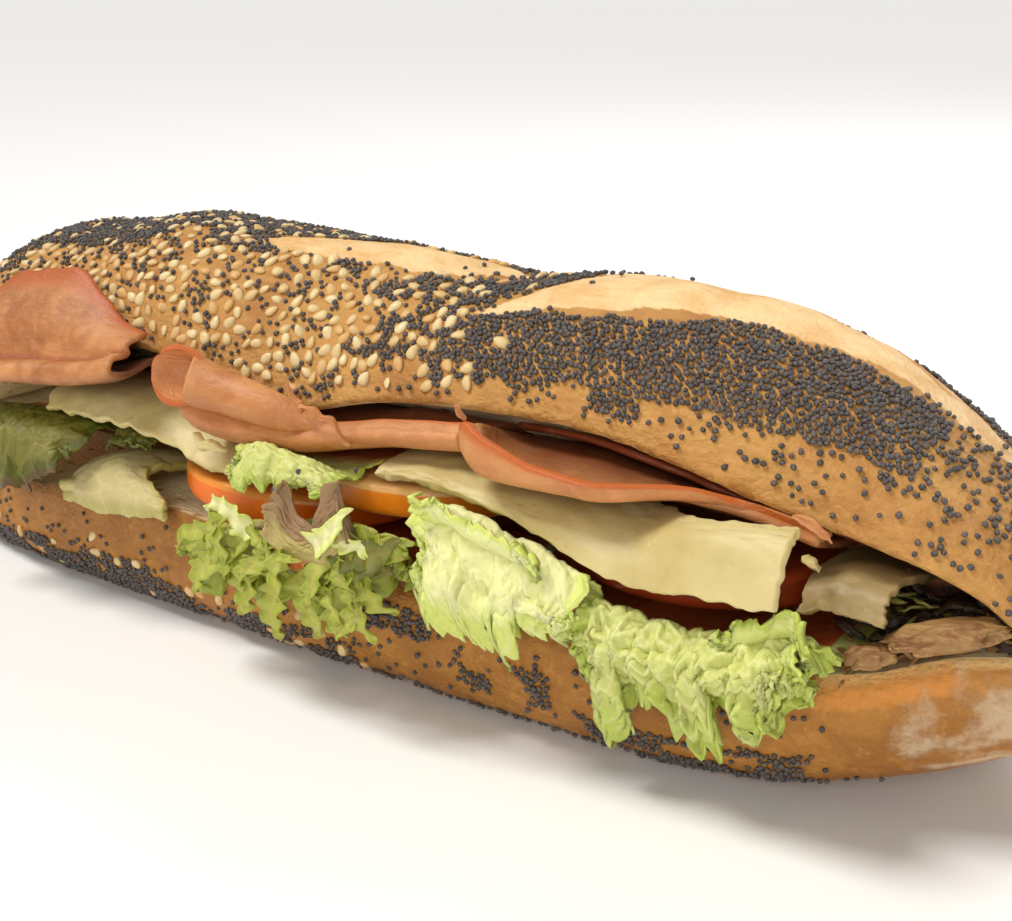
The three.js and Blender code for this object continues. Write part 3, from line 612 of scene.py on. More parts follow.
# each band's share of its places that get a seed, or the value above which all of them do; how far
# apart seeds are, how many places are tried and between which ends and turns
seedBands = {
    "sesame_top": {
        "kind": "sesame", "crust": upperCrust, "slot": "crust_upper", "share": sesameOnTop,
        "apart": 2.3, "tries": 9000, "ends": (-137, 40), "turns": (0.05, 3.0),
    },
    "poppy_packed": {
        "kind": "poppy", "crust": upperCrust, "slot": "crust_upper", "share": poppyOnTop, "above": 0.7,
        "apart": 0.76, "tries": 160000, "ends": (0, 118), "turns": (0.03, 1.6),
    },
    "poppy_horizon": {
        "kind": "poppy", "crust": upperCrust, "slot": "crust_upper", "share": poppyOnTop, "above": 0.5,
        "apart": 0.82, "tries": 70000, "ends": (-130, 4), "turns": (0.8, 1.75),
    },
    "poppy_strewn": {
        "kind": "poppy", "crust": upperCrust, "slot": "crust_upper", "share": poppyOnTop,
        "apart": 0.9, "tries": 52000, "ends": (-137, 137), "turns": (0.03, 3.05),
    },
    "sesame_bottom": {
        "kind": "sesame", "crust": lowerCrust, "slot": "crust_lower", "share": sesameBelow,
        "apart": 2.6, "tries": 1500, "ends": (-137, 137), "turns": (0.1, 3.0),
    },
    "poppy_bottom_packed": {
        "kind": "poppy", "crust": lowerCrust, "slot": "crust_lower", "share": poppyBelow, "above": 0.5,
        "apart": 0.8, "tries": 120000, "ends": (-114, 95), "turns": (0.02, 0.95),
    },
    "poppy_bottom": {
        "kind": "poppy", "crust": lowerCrust, "slot": "crust_lower", "share": poppyBelow,
        "apart": 0.98, "tries": 50000, "ends": (-137, 137), "turns": (0.02, 3.1),
    },
}
taken = {upperCrust: {}, lowerCrust: {}}
seedSpots = {name: seedPlaces(band, taken[band["crust"]], random) for name, band in seedBands.items()}
print("seeds:", *(len(x) for x, turn in seedSpots.values()))
for name, band in seedBands.items():
    seedPiece(name, band, *seedSpots[name], random)
print("seeds placed")


# slices and leaves: a section of (y, z) points that changes along the roll
def followPath(points, share):  # points: stations x path x 2; share: stations x steps
    count = points.shape[1]
    first = 2 * points[:, :1] - points[:, 1:2]
    last = 2 * points[:, -1:] - points[:, -2:-1]
    padded = np.concatenate([first, points, last], 1)
    place = np.clip(share, 0, 1) * (count - 1)
    i = np.minimum(np.floor(place).astype(int), count - 2)
    t = (place - i)[..., None]
    rows = np.arange(points.shape[0])[:, None]
    p0, p1, p2, p3 = (padded[rows, i + k] for k in range(4))
    d0, d1, d2 = (np.maximum(np.linalg.norm(b - a, axis=-1, keepdims=True) ** 0.5, 1e-4)
                  for a, b in ((p0, p1), (p1, p2), (p2, p3)))
    m1 = ((p1 - p0) / d0 - (p2 - p0) / (d0 + d1) + (p2 - p1) / d1) * d1
    m2 = ((p2 - p1) / d1 - (p3 - p1) / (d1 + d2) + (p3 - p2) / d2) * d1
    c = 2 * p1 - 2 * p2 + m1 + m2
    d = -3 * p1 + 3 * p2 - 2 * m1 - m2
    return p1 + m1 * t + d * t * t + c * t * t * t


def jags(place, seed):  # sharp uneven teeth, 0 at a tip and up to 1 between two
    tooth = np.floor(place)
    part = place - tooth
    tip = 0.25 + 0.5 * chance(tooth, tooth * 0 + seed, 1)
    rise = np.where(part < tip, part / tip, (1 - part) / (1 - tip))
    return (1 - rise) * (0.4 + 0.6 * chance(tooth, tooth * 0 + seed, 2))


def sheetPiece(name, settings, section, material, slot, node, relief=None):
    across, down = settings["steps"]
    bm = bmesh.new()
    bmesh.ops.create_grid(bm, x_segments=across, y_segments=down, size=1)
    mesh = meshFrom(bm, name)
    flat = (cornersOf(mesh)[:, :2] + 1) / 2
    us, vs = np.unique(np.round(flat[:, 0], 5)), np.unique(np.round(flat[:, 1], 5))
    column = np.searchsorted(us, np.round(flat[:, 0], 5))
    row = np.searchsorted(vs, np.round(flat[:, 1], 5))
    u, v = np.meshgrid(us, vs, indexing="ij")
    start, end = settings["from"], settings["to"]
    torn = settings.get("torn", 0)
    teeth = settings.get("teeth", 3)
    seed = settings.get("seed", 1)
    length = end - start
    station = start + u * length
    free = unevenness(station / teeth, 0 * u, seed, 4)
    fringe = settings.get("fringe", 0)
    points = jags(station / settings.get("jag", 1.7), seed)
    back = 0.5 + 0.5 * unevenness(station / teeth, 0 * u, seed + 3, 4)
    reach = np.clip(v * (1 - (torn * (0.5 + 0.5 * free) + fringe * points) * smooth(0.4, 1, v)), 0, 1)
    reach = reach + settings.get("tornBack", 0) * back * (1 - smooth(0, 0.5, v))
    sides = settings.get("sideTorn", 0) * unevenness(v * 30 / teeth, 3 + np.sign(u - 0.5), seed + 5, 4)
    sides = sides - 12 * fringe * jags(v * 26 + np.sign(u - 0.5) * 40, seed + 2)
    x = station + sides * np.abs(2 * u - 1) ** 3 * np.sign(u - 0.5)
    if "shift" in settings:
        x = x + settings["shift"](u, v)
    stations = np.stack([np.stack([y + 0 * us, z + 0 * us], -1)
                         for y, z in section(start + length * us)], 1)
    path = followPath(stations, reach)
    middle = np.concatenate([x[..., None], path], -1)
    marks = {}
    if relief:
        normal = np.cross(np.gradient(middle, axis=0), np.gradient(middle, axis=1))
        normal /= np.maximum(np.linalg.norm(normal, axis=-1, keepdims=True), 1e-9)
        height, sway, marks = relief(u, v, x)
        middle = middle + normal * height[..., None]
        middle[..., 0] += sway
    moveCorners(mesh, toFrame(middle[column, row]))
    for key, value in marks.items():
        markCorners(mesh, key, np.broadcast_to(value, u.shape)[column, row])
    # how strongly painted shade darkens the inner part, which lies in shade under the fillings
    innerShade = settings.get("innerShade", 1) * (1 - settings.get("unshadedEnd", 0) * smooth(0.84, 0.93, u))
    markCorners(mesh, "down", (1 - innerShade * (1 - v))[column, row])
    nodes = [node] if node else []
    pieceFrom(mesh, name, material, slot, *nodes, thickness=settings["thickness"],
              rounding=settings.get("rounding", 0))


def hamFinish(name, pink, rind, dark, crease=2):
    f = Finish(name)
    place = f.place()
    down = f.mark("down")
    cloud = f.noise(place, 120, 4, 0.55, 0.5)
    grain = f.noise(f.stretched(place, (0.35, 1, 1)), 900, 3, 0.6)
    colour = f.blend(f.spread(cloud, 0.3, 0.75), pink, tint(206, 142, 84))
    colour = f.blend(f.spread(grain, 0.5, 0.75) * 0.3, colour, tint(214, 160, 112))
    colour = f.blend(f.spread(f.noise(place, 45, 2), 0.4, 0.65) * 0.5, colour, tint(206, 140, 88))
    # painted shade: a dark line along the fold's crease
    fold = f.spread(down, crease - 0.07, crease - 0.01) - f.spread(down, crease + 0.01, crease + 0.05)
    colour = f.blend(fold * 0.75, colour, tint(150, 70, 24))
    rim = f.spread(down + (cloud - 0.5) * 0.05, 0.94, 0.99)
    colour = f.blend(rim, colour, rind)
    # painted shade: darker towards the inner part of the slice, which lies in shade under the bread
    colour = f.blend(f.spread(down, 0.56, 0.36) * 0.85, colour, dark)
    return f.finish(Base_Color=colour, Roughness=0.42 + cloud * 0.18, Subsurface_Weight=0.12,
                    Subsurface_Scale=0.003, Subsurface_Radius=(1, 0.55, 0.35),
                    Coat_Weight=0.08, Coat_Roughness=0.3,
                    Normal=f.bump(grain + cloud * 1.5 + f.noise(place, 2400, 3) * 0.5, 0.5, 0.0006))


def cheeseFinish(name, cream, deep):
    f = Finish(name)
    place = f.place()
    cloud = f.noise(place, 70, 4, 0.5)
    pits = f.cells(place, 520)
    colour = f.blend(f.spread(cloud, 0.35, 0.7), cream, deep)
    height = f.spread(pits, 0.05, 0.3) * 0.6 + f.noise(place, 420, 4) * 0.6
    return f.finish(Base_Color=colour, Roughness=0.42 + cloud * 0.16, Subsurface_Weight=0.35,
                    Subsurface_Scale=0.004, Subsurface_Radius=(1, 0.7, 0.35),
                    Normal=f.bump(height, 0.3, 0.0004))


def leafFinish(name, body, edge, vein, tips=None):
    f = Finish(name)
    place = f.place()
    net, margin = f.mark("net"), f.mark("margin")
    cloud = f.noise(place, 110, 4, 0.6, 0.3)
    colour = f.blend(f.spread(margin + (cloud - 0.5) * 0.5, 0.1, 0.9), body, edge)
    colour = f.blend(f.spread(net, 0.1, 0.9) * 0.2, colour, vein)
    if tips:
        colour = f.blend(f.spread(f.mark("tips") + (cloud - 0.5) * 0.5, 0.25, 0.8), colour, tips)
    colour = f.blend(f.spread(cloud, 0.55, 0.8) * 0.4, colour, vein)
    # painted shade: the inner part of a leaf, where it lies in shade under the fillings, turns a tomato
    # red-brown
    colour = f.blend(f.spread(f.mark("down"), 0.34, 0.2) * 0.95, colour, tint(200, 86, 32))
    height = f.noise(place, 700, 5, 0.6, 0.5) + f.cells(place, 600) * 0.5
    return f.finish(Base_Color=colour, Roughness=0.42 + cloud * 0.15, Subsurface_Weight=0.35,
                    Subsurface_Scale=0.0025, Subsurface_Radius=(0.7, 1, 0.3),
                    Normal=f.bump(height, 0.5, 0.0006))


# ham
hamSlice = {"thickness": 1.3, "steps": (62, 66), "rounding": 1, "torn": 0.015, "teeth": 7}
hamPink = hamFinish("ham_slice", tint(176, 106, 52), tint(186, 92, 26), tint(92, 40, 20))
hamCreased = hamFinish("ham_creased", tint(162, 96, 46), tint(176, 84, 22), tint(92, 40, 20), 0.74)
# painted shade: a darkened copy of the ham finish for the flat slice and the sheet deep in the gap, which
# lie in shade
hamShaded = hamFinish("ham_shaded", tint(130, 68, 40), tint(122, 56, 26), tint(74, 32, 18))


def hamRelief(settings):
    size, seed = settings["relief"], settings["seed"]

    def relief(u, v, x):
        height = size * unevenness(x / 11, v * 6, seed) * smooth(0.05, 0.4, v)
        return height, 0.5 * unevenness(x / 8, v * 5, seed + 3) * v, {}
    return relief


hamLeft = {**hamSlice, "from": -97, "to": -39.5, "sideTorn": 0.1, "relief": 0.5, "seed": 31}


def hamLeftSection(x):
    stand = along(x, [(-97, 0.1), (-90, 0.6), (-80, 0.95), (-66, 1), (-55, 0.66), (-46, 0.28),
                      (-39.5, 0.1)])
    lowest = along(x, [(-97, 41.6), (-75, 43.4), (-50, 46.5), (-39.5, 49.5)])
    return [(31, under(x, 31, 1.3)), (-24, under(x, -24, 2.2)), (-33, lowest + 3.6), (-40, lowest + 2.4),
            (-44.6, lowest + 3.6), (-43.8, lowest + 5.8), (-39.6, lowest + 6.2),
            (-39.4 + 1.5 * stand, lowest + 7 + 5.5 * stand), (-35 + 6.5 * stand, lowest + 7 + 16.5 * stand)]


sheetPiece("ham_fold_left", hamLeft, hamLeftSection, hamCreased, "ham", "ham_left", hamRelief(hamLeft))

hamMiddle = {**hamSlice, "from": -22, "to": 35.6, "sideTorn": 0.15, "relief": 0.35, "seed": 37}


def hamMiddleSection(x):
    top = along(x, [(-38, 54.6), (-30, 54.4), (-15, 50.4), (0, 49), (20, 52), (36, 54)])
    bottom = along(x, [(-38, 47.6), (-30, 45.9), (-15, 44), (0, 44.2), (20, 48.4), (36, 50.6)])
    neck = along(x, [(-38, 51.4), (-24, 48.6), (-15, 46.6), (0, 45.8), (12, 49.2), (22, 51.6), (36, 52)])
    reach = along(x, [(-38, -43.6), (-15, -43.8), (0, -41.5), (36, -38.5)])
    floor = bottom + 0.3
    middle = (top + bottom) / 2
    return [(31, under(x, 31, 1.3)), (-16, under(x, -16, 1.8)),
            (-25.5, np.minimum(np.maximum(neck, floor + 2.5), under(x, -25.5, 1.8))),
            (-28, np.minimum(floor + 0.9, under(x, -28, 1.8))),
            (-31.5, np.minimum(floor, under(x, -31.5, 1.6))), (reach + 4.5, floor - 0.3),
            (reach + 0.8, middle - 1.2), (reach, middle + 0.4), (reach + 1.2, top - 0.6),
            (reach + 3, top + 0.2)]


sheetPiece("ham_fold_middle", hamMiddle, hamMiddleSection, hamPink, "ham", "ham_middle",
           hamRelief(hamMiddle))

hamRight = {**hamSlice, "from": 37, "to": 93, "sideTorn": 0.1, "relief": 0.3, "seed": 41}


def hamRightSection(x):
    floor = along(x, [(37, 54.5), (39.5, 51.4), (45, 49.2), (60, 49), (70, 49.2), (80, 48), (93, 44.4)])
    lip = along(x, [(37, 54), (41, 58), (46, 56), (54, 53.2), (75, 51.4), (82, 49.2), (93, 45.8)])
    reach = along(x, [(37, -39.5), (40, -43), (45, -45), (62, -44.4), (74, -36), (82, -31.5),
                      (93, -28)])
    return [(2, under(x, 2, 3.1)), (-10, under(x, -10, 3.1)), (-22, under(x, -22, 3.2)),
            (reach * 0.6 - 12.5, floor + 0.4), (reach + 4, floor), (reach + 0.6, floor + 1.2),
            (reach, lip)]


sheetPiece("ham_fold_right", hamRight, hamRightSection, hamPink, "ham", "ham_right",
           hamRelief(hamRight))

hamFlat = {**hamSlice, "from": 36.2, "to": 112, "steps": (60, 34), "torn": 0.04, "teeth": 5,
           "sideTorn": 0.8, "seed": 43}


def hamFlatSection(x):
    front = -along(x, [(36, 26), (40, 27), (60, 30), (76, 28), (88, 23), (112, 20)])
    back = widthAt(x) - 3
    ys = [back + (front - back) * k / 2 for k in range(3)]
    return [(y, under(x, y, 1.25)) for y in ys]


sheetPiece("ham_flat_slice", hamFlat, hamFlatSection, hamShaded, "ham", "ham_flat")
print("ham laid")

# cheese
cheeseCream = cheeseFinish("cheese_slice", tint(204, 188, 134), tint(188, 168, 106))
# painted shade: a darkened copy of the cheese finish for the right-hand slice, which lies in shade
cheeseShaded = cheeseFinish("cheese_shaded", tint(160, 138, 92), tint(136, 112, 70))


def cheeseRelief(settings):
    seed = settings["seed"]

    def relief(u, v, x):
        edge = np.maximum(smooth(0.8, 1, v), smooth(0.2, 0, v))
        height = 0.25 * unevenness(x / 4, v * 8, seed) + 0.3 * edge * unevenness(x / 1.3, v * 14, seed + 1)
        return height, 0 * u, {}
    return relief


cheeseLeft = {"from": -66, "to": -13.5, "thickness": 1.6, "steps": (92, 48), "rounding": 1, "torn": 0.06,
              "teeth": 2.4, "sideTorn": 1.2, "seed": 51}


def cheeseLeftSection(x):
    front = along(x, [(-66, 44.2), (-40, 43.8), (-26, 41.2), (-13.5, 39)])
    return [(31, under(x, 31, 3.5)), (0, under(x, 0, 4.2)),
            (-20, np.minimum(front + 0.6, under(x, -20, 4.4))), (-34, front + 0.2), (-39.6, front - 4)]


sheetPiece("cheese_left_slice", cheeseLeft, cheeseLeftSection, cheeseCream, "cheese", "cheese_left",
           cheeseRelief(cheeseLeft))

cheeseMiddle = {"from": 19.5, "to": 94, "thickness": 1.7, "steps": (120, 38), "rounding": 1, "torn": 0.05,
                "teeth": 2.2, "sideTorn": 0.25, "seed": 53, "tornBack": 0.14}


def cheeseMiddleSection(x):
    back = along(x, [(17, -6), (45, -14), (66, -25), (76, -34.5), (84, -37), (94, -37.5)])
    crest = along(x, [(17, 44.9), (30, 46.6), (50, 45.8), (66, 44.6), (80, 47.4), (94, 49.4)])
    droop = along(x, [(17, 1.4), (45, 3.2), (60, 6.2), (72, 8.6), (94, 10.4)])
    front = along(x, [(17, -40.5), (50, -42), (94, -45.2)])
    shoulder = back + (front - back) * along(x, [(17, 0.8), (60, 0.7), (94, 0.45)])
    room = along(x, [(17, 4.1), (30, 4.1), (37, 5.5), (60, 5.5), (72, 3)])
    inner = np.minimum(crest, under(x, back, room))
    inner = inner + (crest - inner) * smooth(70, 80, x)
    return [(back, inner), ((back + shoulder) / 2, crest - 0.1), (shoulder, crest - 0.12 * droop),
            (front + 1.6, crest - 0.5 * droop), (front, crest - droop)]


sheetPiece("cheese_middle_slice", cheeseMiddle, cheeseMiddleSection, cheeseCream, "cheese",
           "cheese_middle", cheeseRelief(cheeseMiddle))

cheeseRight = {"from": 91, "to": 104, "thickness": 1.4, "steps": (40, 60), "rounding": 1, "torn": 0.05,
               "teeth": 2, "sideTorn": 0.6, "seed": 57}


def cheeseRightSection(x):
    front = along(x, [(91, 37.4), (97, 39), (104, 38.6)])
    return [(14, under(x, 14, 5)), (-8, under(x, -8, 5.2)), (-24, front + 0.4), (-28.5, front - 0.8),
            (-30.4, front - 4.2)]


sheetPiece("cheese_right_slice", cheeseRight, cheeseRightSection, cheeseShaded, "cheese", "cheese_right",
           cheeseRelief(cheeseRight))
print("cheese laid")


# tomato slices
def tomatoFinish(name, skin, flesh, rim):
    f = Finish(name)
    place = f.place()
    skinMark, rimMark = f.mark("skin"), f.mark("rim")
    cloud = f.noise(place, 130, 3)
    colour = f.blend(f.spread(cloud, 0.3, 0.75), flesh, rim)
    colour = f.blend(rimMark, colour, rim)
    colour = f.blend(f.spread(skinMark + (cloud - 0.5) * 0.2, 0.4, 0.6), colour, skin)
    return f.finish(Base_Color=colour, Roughness=0.25 + cloud * 0.2, Subsurface_Weight=0.15,
                    Subsurface_Scale=0.004, Subsurface_Radius=(1, 0.5, 0.15),
                    Normal=f.bump(f.cells(place, 500) + f.noise(place, 300), 0.2, 0.0005))


def tomatoPiece(name, settings, material, node):
    radius, half = settings["radius"], settings["thickness"] / 2
    profile = [(0, -half), (radius * 0.5, -half), (radius - 2.4, -half), (radius - 0.9, -half + 0.15),
               (radius - 0.2, -half + 0.9), (radius, -half + 2), (radius, half - 2),
               (radius - 0.2, half - 0.9), (radius - 0.9, half - 0.15), (radius - 2.4, half),
               (radius * 0.5, half), (0, half)]
    bm = bmesh.new()
    corners = [bm.verts.new((r, 0, z)) for r, z in profile]
    edges = [bm.edges.new(pair) for pair in zip(corners, corners[1:])]
    bmesh.ops.spin(bm, geom=corners + edges, cent=(0, 0, 0), axis=(0, 0, 1), angle=2 * math.pi,
                   steps=96, use_merge=True)
    bmesh.ops.remove_doubles(bm, verts=bm.verts, dist=1e-4)
    bmesh.ops.recalc_face_normals(bm, faces=bm.faces)
    mesh = meshFrom(bm, name)
    p = cornersOf(mesh)
    far = np.hypot(p[:, 0], p[:, 1])
    angle = np.arctan2(p[:, 1], p[:, 0])
    wobble = 1 + 0.025 * np.sin(3 * angle + settings["centre"][0])
    slope = settings["slope"]
    q = p * np.stack([wobble, wobble, 1 + 0 * wobble], -1)
    q[:, 2] += slope[0] * q[:, 0] + slope[1] * q[:, 1]
    moveCorners(mesh, toFrame(q + settings["centre"]))
    markCorners(mesh, "skin", (far > radius - 0.6) * (p[:, 2] < half - 1.2))
    markCorners(mesh, "rim", smooth(radius - 4, radius - 1, far))
    pieceFrom(mesh, name, material, "tomato", node, rounding=1)


tomatoOrange = tomatoFinish("tomato_slice", tint(234, 112, 8), tint(228, 124, 26), tint(232, 146, 56))
# painted light: a lightened copy of the tomato finish for the middle slice, brightening it against the
# shade it lies in
tomatoPaintedLight = tomatoFinish("tomato_painted_light", tint(250, 142, 24), tint(252, 186, 104), tint(254, 196, 122))
# painted shade: a darkened copy of the tomato finish for the right-hand slice, which lies deep in shade
tomatoShaded = tomatoFinish("tomato_shaded", tint(140, 48, 16), tint(128, 44, 14), tint(152, 60, 24))
tomatoes = {
    "tomato_left": {"centre": (-16, -16.3, 30.1), "radius": 23.8, "slope": (-0.03, -0.06), "thickness": 6.4,
                    "finish": tomatoOrange},
    "tomato_middle": {"centre": (15, -18.5, 36.9), "radius": 20.3, "slope": (0.02, -0.07), "thickness": 6,
                      "finish": tomatoPaintedLight},
    "tomato_right": {"centre": (67, -14, 33.6), "radius": 23.5, "slope": (0, -0.08), "thickness": 6,
                     "finish": tomatoShaded},
}
for node, settings in tomatoes.items():
    tomatoPiece(node + "_slice", settings, settings["finish"], node)
print("tomato laid")


# salad leaves
def leafRelief(settings):
    def relief(u, v, x):
        seed = settings.get("seed", 1)
        size = settings.get("cell", 4)
        acrossWay = (x - settings["from"]) / size
        downWay = v * settings.get("drop", 45) / size
        bend = 0.7 * unevenness(acrossWay / 2, downWay / 2, seed)
        net = netting(acrossWay + bend, downWay * 0.6 - bend, seed)
        blister = settings.get("blister", 0.4) * smooth(0, 0.6, net) * smooth(0.2, 0.5, v)
        folds = 0
        for turnsU, turnsV, start, high in settings.get("folds", ()):
            wander = 0.22 * unevenness(u * 3, v * 4, seed + 7)
            crest = 1 - np.abs(np.sin(np.pi * (turnsU * u + turnsV * v + start + wander)))
            folds = folds + high * (crest ** 1.5 - 0.3) * smooth(0.3, 0.6, v)
        waves, frill = settings.get("waves", 7), settings.get("frill", 2)
        phase = 2.2 * unevenness(u * 3, v * 2, seed + 2)
        grow = smooth(0.45, 1, v) ** 1.3
        ruffle = frill * grow * np.sin(np.pi * waves * u + 2 * v + phase)
        ripple = 0.5 * frill * smooth(0.75, 1, v) * np.sin(np.pi * 2.7 * waves * u - 3 * v + 2 * phase)
        sway = settings.get("sway", 1) * grow * np.sin(np.pi * 2 * waves * u + 2 * phase)
        sideEdge = np.minimum(u, 1 - u) * (settings["to"] - settings["from"])
        curl = 1.2 * smooth(5, 0, sideEdge) * unevenness(v * 9, u * 0 + np.sign(u - 0.5), seed + 4)
        margin = np.maximum(smooth(0.78, 1, v), smooth(4, 0, sideEdge))
        marks = {"net": 1 - smooth(0.01, 0.09, net), "margin": margin}
        if "tips" in settings:
            marks["tips"] = settings["tips"](u, v, x)
        crinkle = settings.get("crinkle", 0.25) * unevenness((x - settings["from"]) / 1.3,
                                                             v * settings.get("drop", 45) / 1.3, seed + 9)
        return blister + folds + ruffle + ripple + curl + crinkle * smooth(0.25, 0.5, v), sway, marks
    return relief


leafPale = leafFinish("leaf_pale", tint(224, 228, 154), tint(206, 220, 112), tint(246, 246, 210))
leafLight = leafFinish("leaf_light", tint(198, 204, 116), tint(178, 194, 82), tint(240, 242, 196))
leafGreen = leafFinish("leaf_green", tint(168, 170, 68), tint(146, 156, 48), tint(206, 202, 122),
                       tint(148, 118, 78))
leafOlive = leafFinish("leaf_olive", tint(118, 112, 40), tint(92, 94, 28), tint(164, 156, 84),
                       tint(96, 66, 36))
leafRib = leafFinish("leaf_rib", tint(200, 184, 128), tint(184, 172, 100), tint(226, 214, 172))
leafBrown = leafFinish("leaf_purple", tint(178, 162, 94), tint(160, 138, 84), tint(204, 192, 140),
                       tint(146, 112, 78))
leafNight = leafFinish("leaf_night", tint(34, 20, 12), tint(52, 34, 18), tint(70, 54, 26),
                       tint(28, 12, 10))


def layLeaf(name, settings, section, material, slot, node):
    sheetPiece(name, settings, section, material, slot, node, leafRelief(settings))


ribLeaf = {"from": -61, "to": -31.5, "thickness": 1.5, "steps": (90, 100), "torn": 0.05, "teeth": 4,
           "sideTorn": 0.4, "seed": 61, "cell": 5, "blister": 0.12, "frill": 0.3, "waves": 4, "sway": 0.2,
           "crinkle": 0.1, "shift": lambda u, v: -10.5 * u * (1 - smooth(0.5, 0.85, v))}


def ribSection(x):
    top = along(x, [(-61, 28), (-55, 31), (-42, 33), (-31.5, 31.5)])
    bottom = along(x, [(-61, 22.6), (-50, 22), (-31.5, 24.4)])
    return [(14, over(x, 3)), (-14, over(x, 3)), (-30, top - 1), (-37.6, top - 1.6),
            (-40.4, (top + bottom) / 2), (-39.8, bottom)]


layLeaf("leaf_rib_piece", ribLeaf, ribSection, leafRib, "lettuce_pale", "lettuce_rib")

innerLeaf = {"from": -53, "to": -41.5, "thickness": 0.45, "fringe": 0.02, "steps": (70, 80),
             "torn": 0.05, "teeth": 3, "sideTorn": 1, "seed": 63, "cell": 4, "blister": 0.4, "frill": 0.6,
             "waves": 5, "sway": 0.3}


def innerSection(x):
    front = along(x, [(-53, 36), (-46, 38.2), (-41.5, 37.4)])
    return [(24, over(x, 4.8)), (0, over(x, 8.5)), (-22, front - 1), (-32, front), (-36.6, front - 2.2)]


layLeaf("leaf_inner_piece", innerLeaf, innerSection, leafOlive, "lettuce_green", "lettuce_inner")

farLeaf = {"from": -95, "to": -54.5, "thickness": 0.45, "fringe": 0.03, "steps": (160, 110),
           "torn": 0.12, "teeth": 3, "sideTorn": 1.5, "seed": 65, "frill": 1.4, "waves": 6,
           "tips": lambda u, v, x: smooth(0.9, 1, v) * 0.7}


def farSection(x):
    top = along(x, [(-95, 36), (-75, 38.6), (-62, 38.6), (-54.5, 37.4)])
    bottom = along(x, [(-95, 29), (-90, 21), (-84, 19.5), (-76, 22), (-68, 21), (-62, 27), (-54.5, 32)])
    return [(20, over(x, 6)), (-10, over(x, 9)), (-28, top - 3), (-36, top), (-42.5, top - 2),
            (-44.6, (top + bottom) / 2), (-43.4, bottom)]


layLeaf("leaf_far_left", farLeaf, farSection, leafOlive, "lettuce_green", "lettuce_far_left")

smallLeaf = {"from": -8, "to": 15.5, "thickness": 0.45, "fringe": 0.05, "steps": (110, 100),
             "torn": 0.16, "teeth": 2.6, "sideTorn": 1.2, "seed": 67, "frill": 0.8, "waves": 5,
             "sway": 0.5, "blister": 0.4}


def smallSection(x):
    inner = along(x, [(-8, 41), (0, 41.4), (15.5, 43)])
    top = along(x, [(-8, 44.4), (-2, 46.4), (7, 45.6), (15.5, 43.4)])
    bottom = along(x, [(-8, 39), (-3, 36.6), (5, 39.4), (15.5, 41.4)])
    return [(-20, inner - 0.4), (-30, inner - 0.1), (-39, inner), (-44.5, top),
            (-47.4, (top + bottom) / 2), (-47, bottom)]


layLeaf("leaf_small_piece", smallLeaf, smallSection, leafLight, "lettuce_green", "lettuce_small")

redLeaf = {"from": -23, "to": 29, "thickness": 0.45, "fringe": 0.035, "steps": (220, 120),
           "torn": 0.16, "teeth": 3, "sideTorn": 2, "seed": 71, "frill": 1.5, "waves": 10, "sway": 1.2,
           "cell": 2.8, "folds": ((6.2, -1, 0.1, 1.2), (5, 4, 0.4, 0.7)),
           "tips": lambda u, v, x: (0.75 * bell(x, 0, 7) * gate(v, 0.5, 0.85, 0.1)
                                     + 0.3 * smooth(0.96, 1, v))}


def redSection(x):
    top = along(x, [(-27, 23.6), (-14, 28.5), (0, 32.5), (16, 35), (29, 35.5)])
    bottom = along(x, [(-27, 21), (-20, 10.5), (-12, 13), (-5, 8.4), (2, 12), (9, 10.5), (18, 17),
                       (29, 22)])
    middle = (top + bottom) / 2
    return [(26, over(x, 1)), (-34, over(x, 2.1)), (-40.6, (over(x, 2) + top) / 2), (-43.2, top),
            (-45.6, top - 3.4), (np.minimum(-43, crustFront(x, middle) - 6), middle),
            (crustFront(x, bottom) - 4.2, bottom)]


layLeaf("leaf_red_tipped", redLeaf, redSection, leafGreen, "lettuce_red", "lettuce_red_tipped")

redLobe = {"from": 3, "to": 22, "thickness": 0.45, "fringe": 0.02, "steps": (120, 80),
           "torn": 0.06, "teeth": 2.5, "sideTorn": 1, "seed": 73, "frill": 0.5, "waves": 3, "sway": 0.4,
           "blister": 0.2, "cell": 3,
           "shift": lambda u, v: 3 * v * v * (1 - 0.6 * u),
           "tips": lambda u, v, x: smooth(0.35, 0.9, v)}


def lobeSection(x):
    tip = along(x, [(3, 42), (5, 44), (8, 38.5), (11, 37), (14, 41), (17, 46), (18.6, 46.4), (20, 42),
                    (22, 36)])
    foot = along(x, [(3, 30), (8, 27), (15, 27), (22, 33)])
    return [(-48.6, foot), (-50.6, foot + 4), (-50.8, (foot + 4 + tip) / 2), (-50, tip)]


layLeaf("leaf_red_lobe", redLobe, lobeSection, leafBrown, "lettuce_red", "lettuce_red_lobe")

curlyLeft = {"from": 32, "to": 63, "thickness": 0.45, "fringe": 0.05, "steps": (190, 150),
             "torn": 0.12, "teeth": 2.4, "sideTorn": 2, "seed": 75, "frill": 1.1, "waves": 5, "sway": 1,
             "cell": 3.4, "blister": 0.45,
             "folds": ((2.2, -2.6, 0.1, 1.5), (-1.2, 5, 0.4, 0.7)), "jag": 1.3}


def curlyLeftSection(x):
    top = along(x, [(30.5, 43.4), (40, 42), (52, 39.8), (61, 36.4)])
    bottom = along(x, [(30.5, 29), (33, 18), (37, 14.5), (42, 15.5), (48, 14.6), (52, 18), (57, 22),
                       (63, 26)])
    return [(30, over(x, 1.2)), (-33, over(x, 3.2)), (-37.6, (over(x, 3.2) + top) / 2), (-42.4, top),
            (-46.4, top - 6), (-47.4, (top + bottom) / 2), (crustFront(x, bottom) - 5, bottom)]


layLeaf("leaf_curly_left", curlyLeft, curlyLeftSection, leafPale, "lettuce_pale", "lettuce_curly_left")

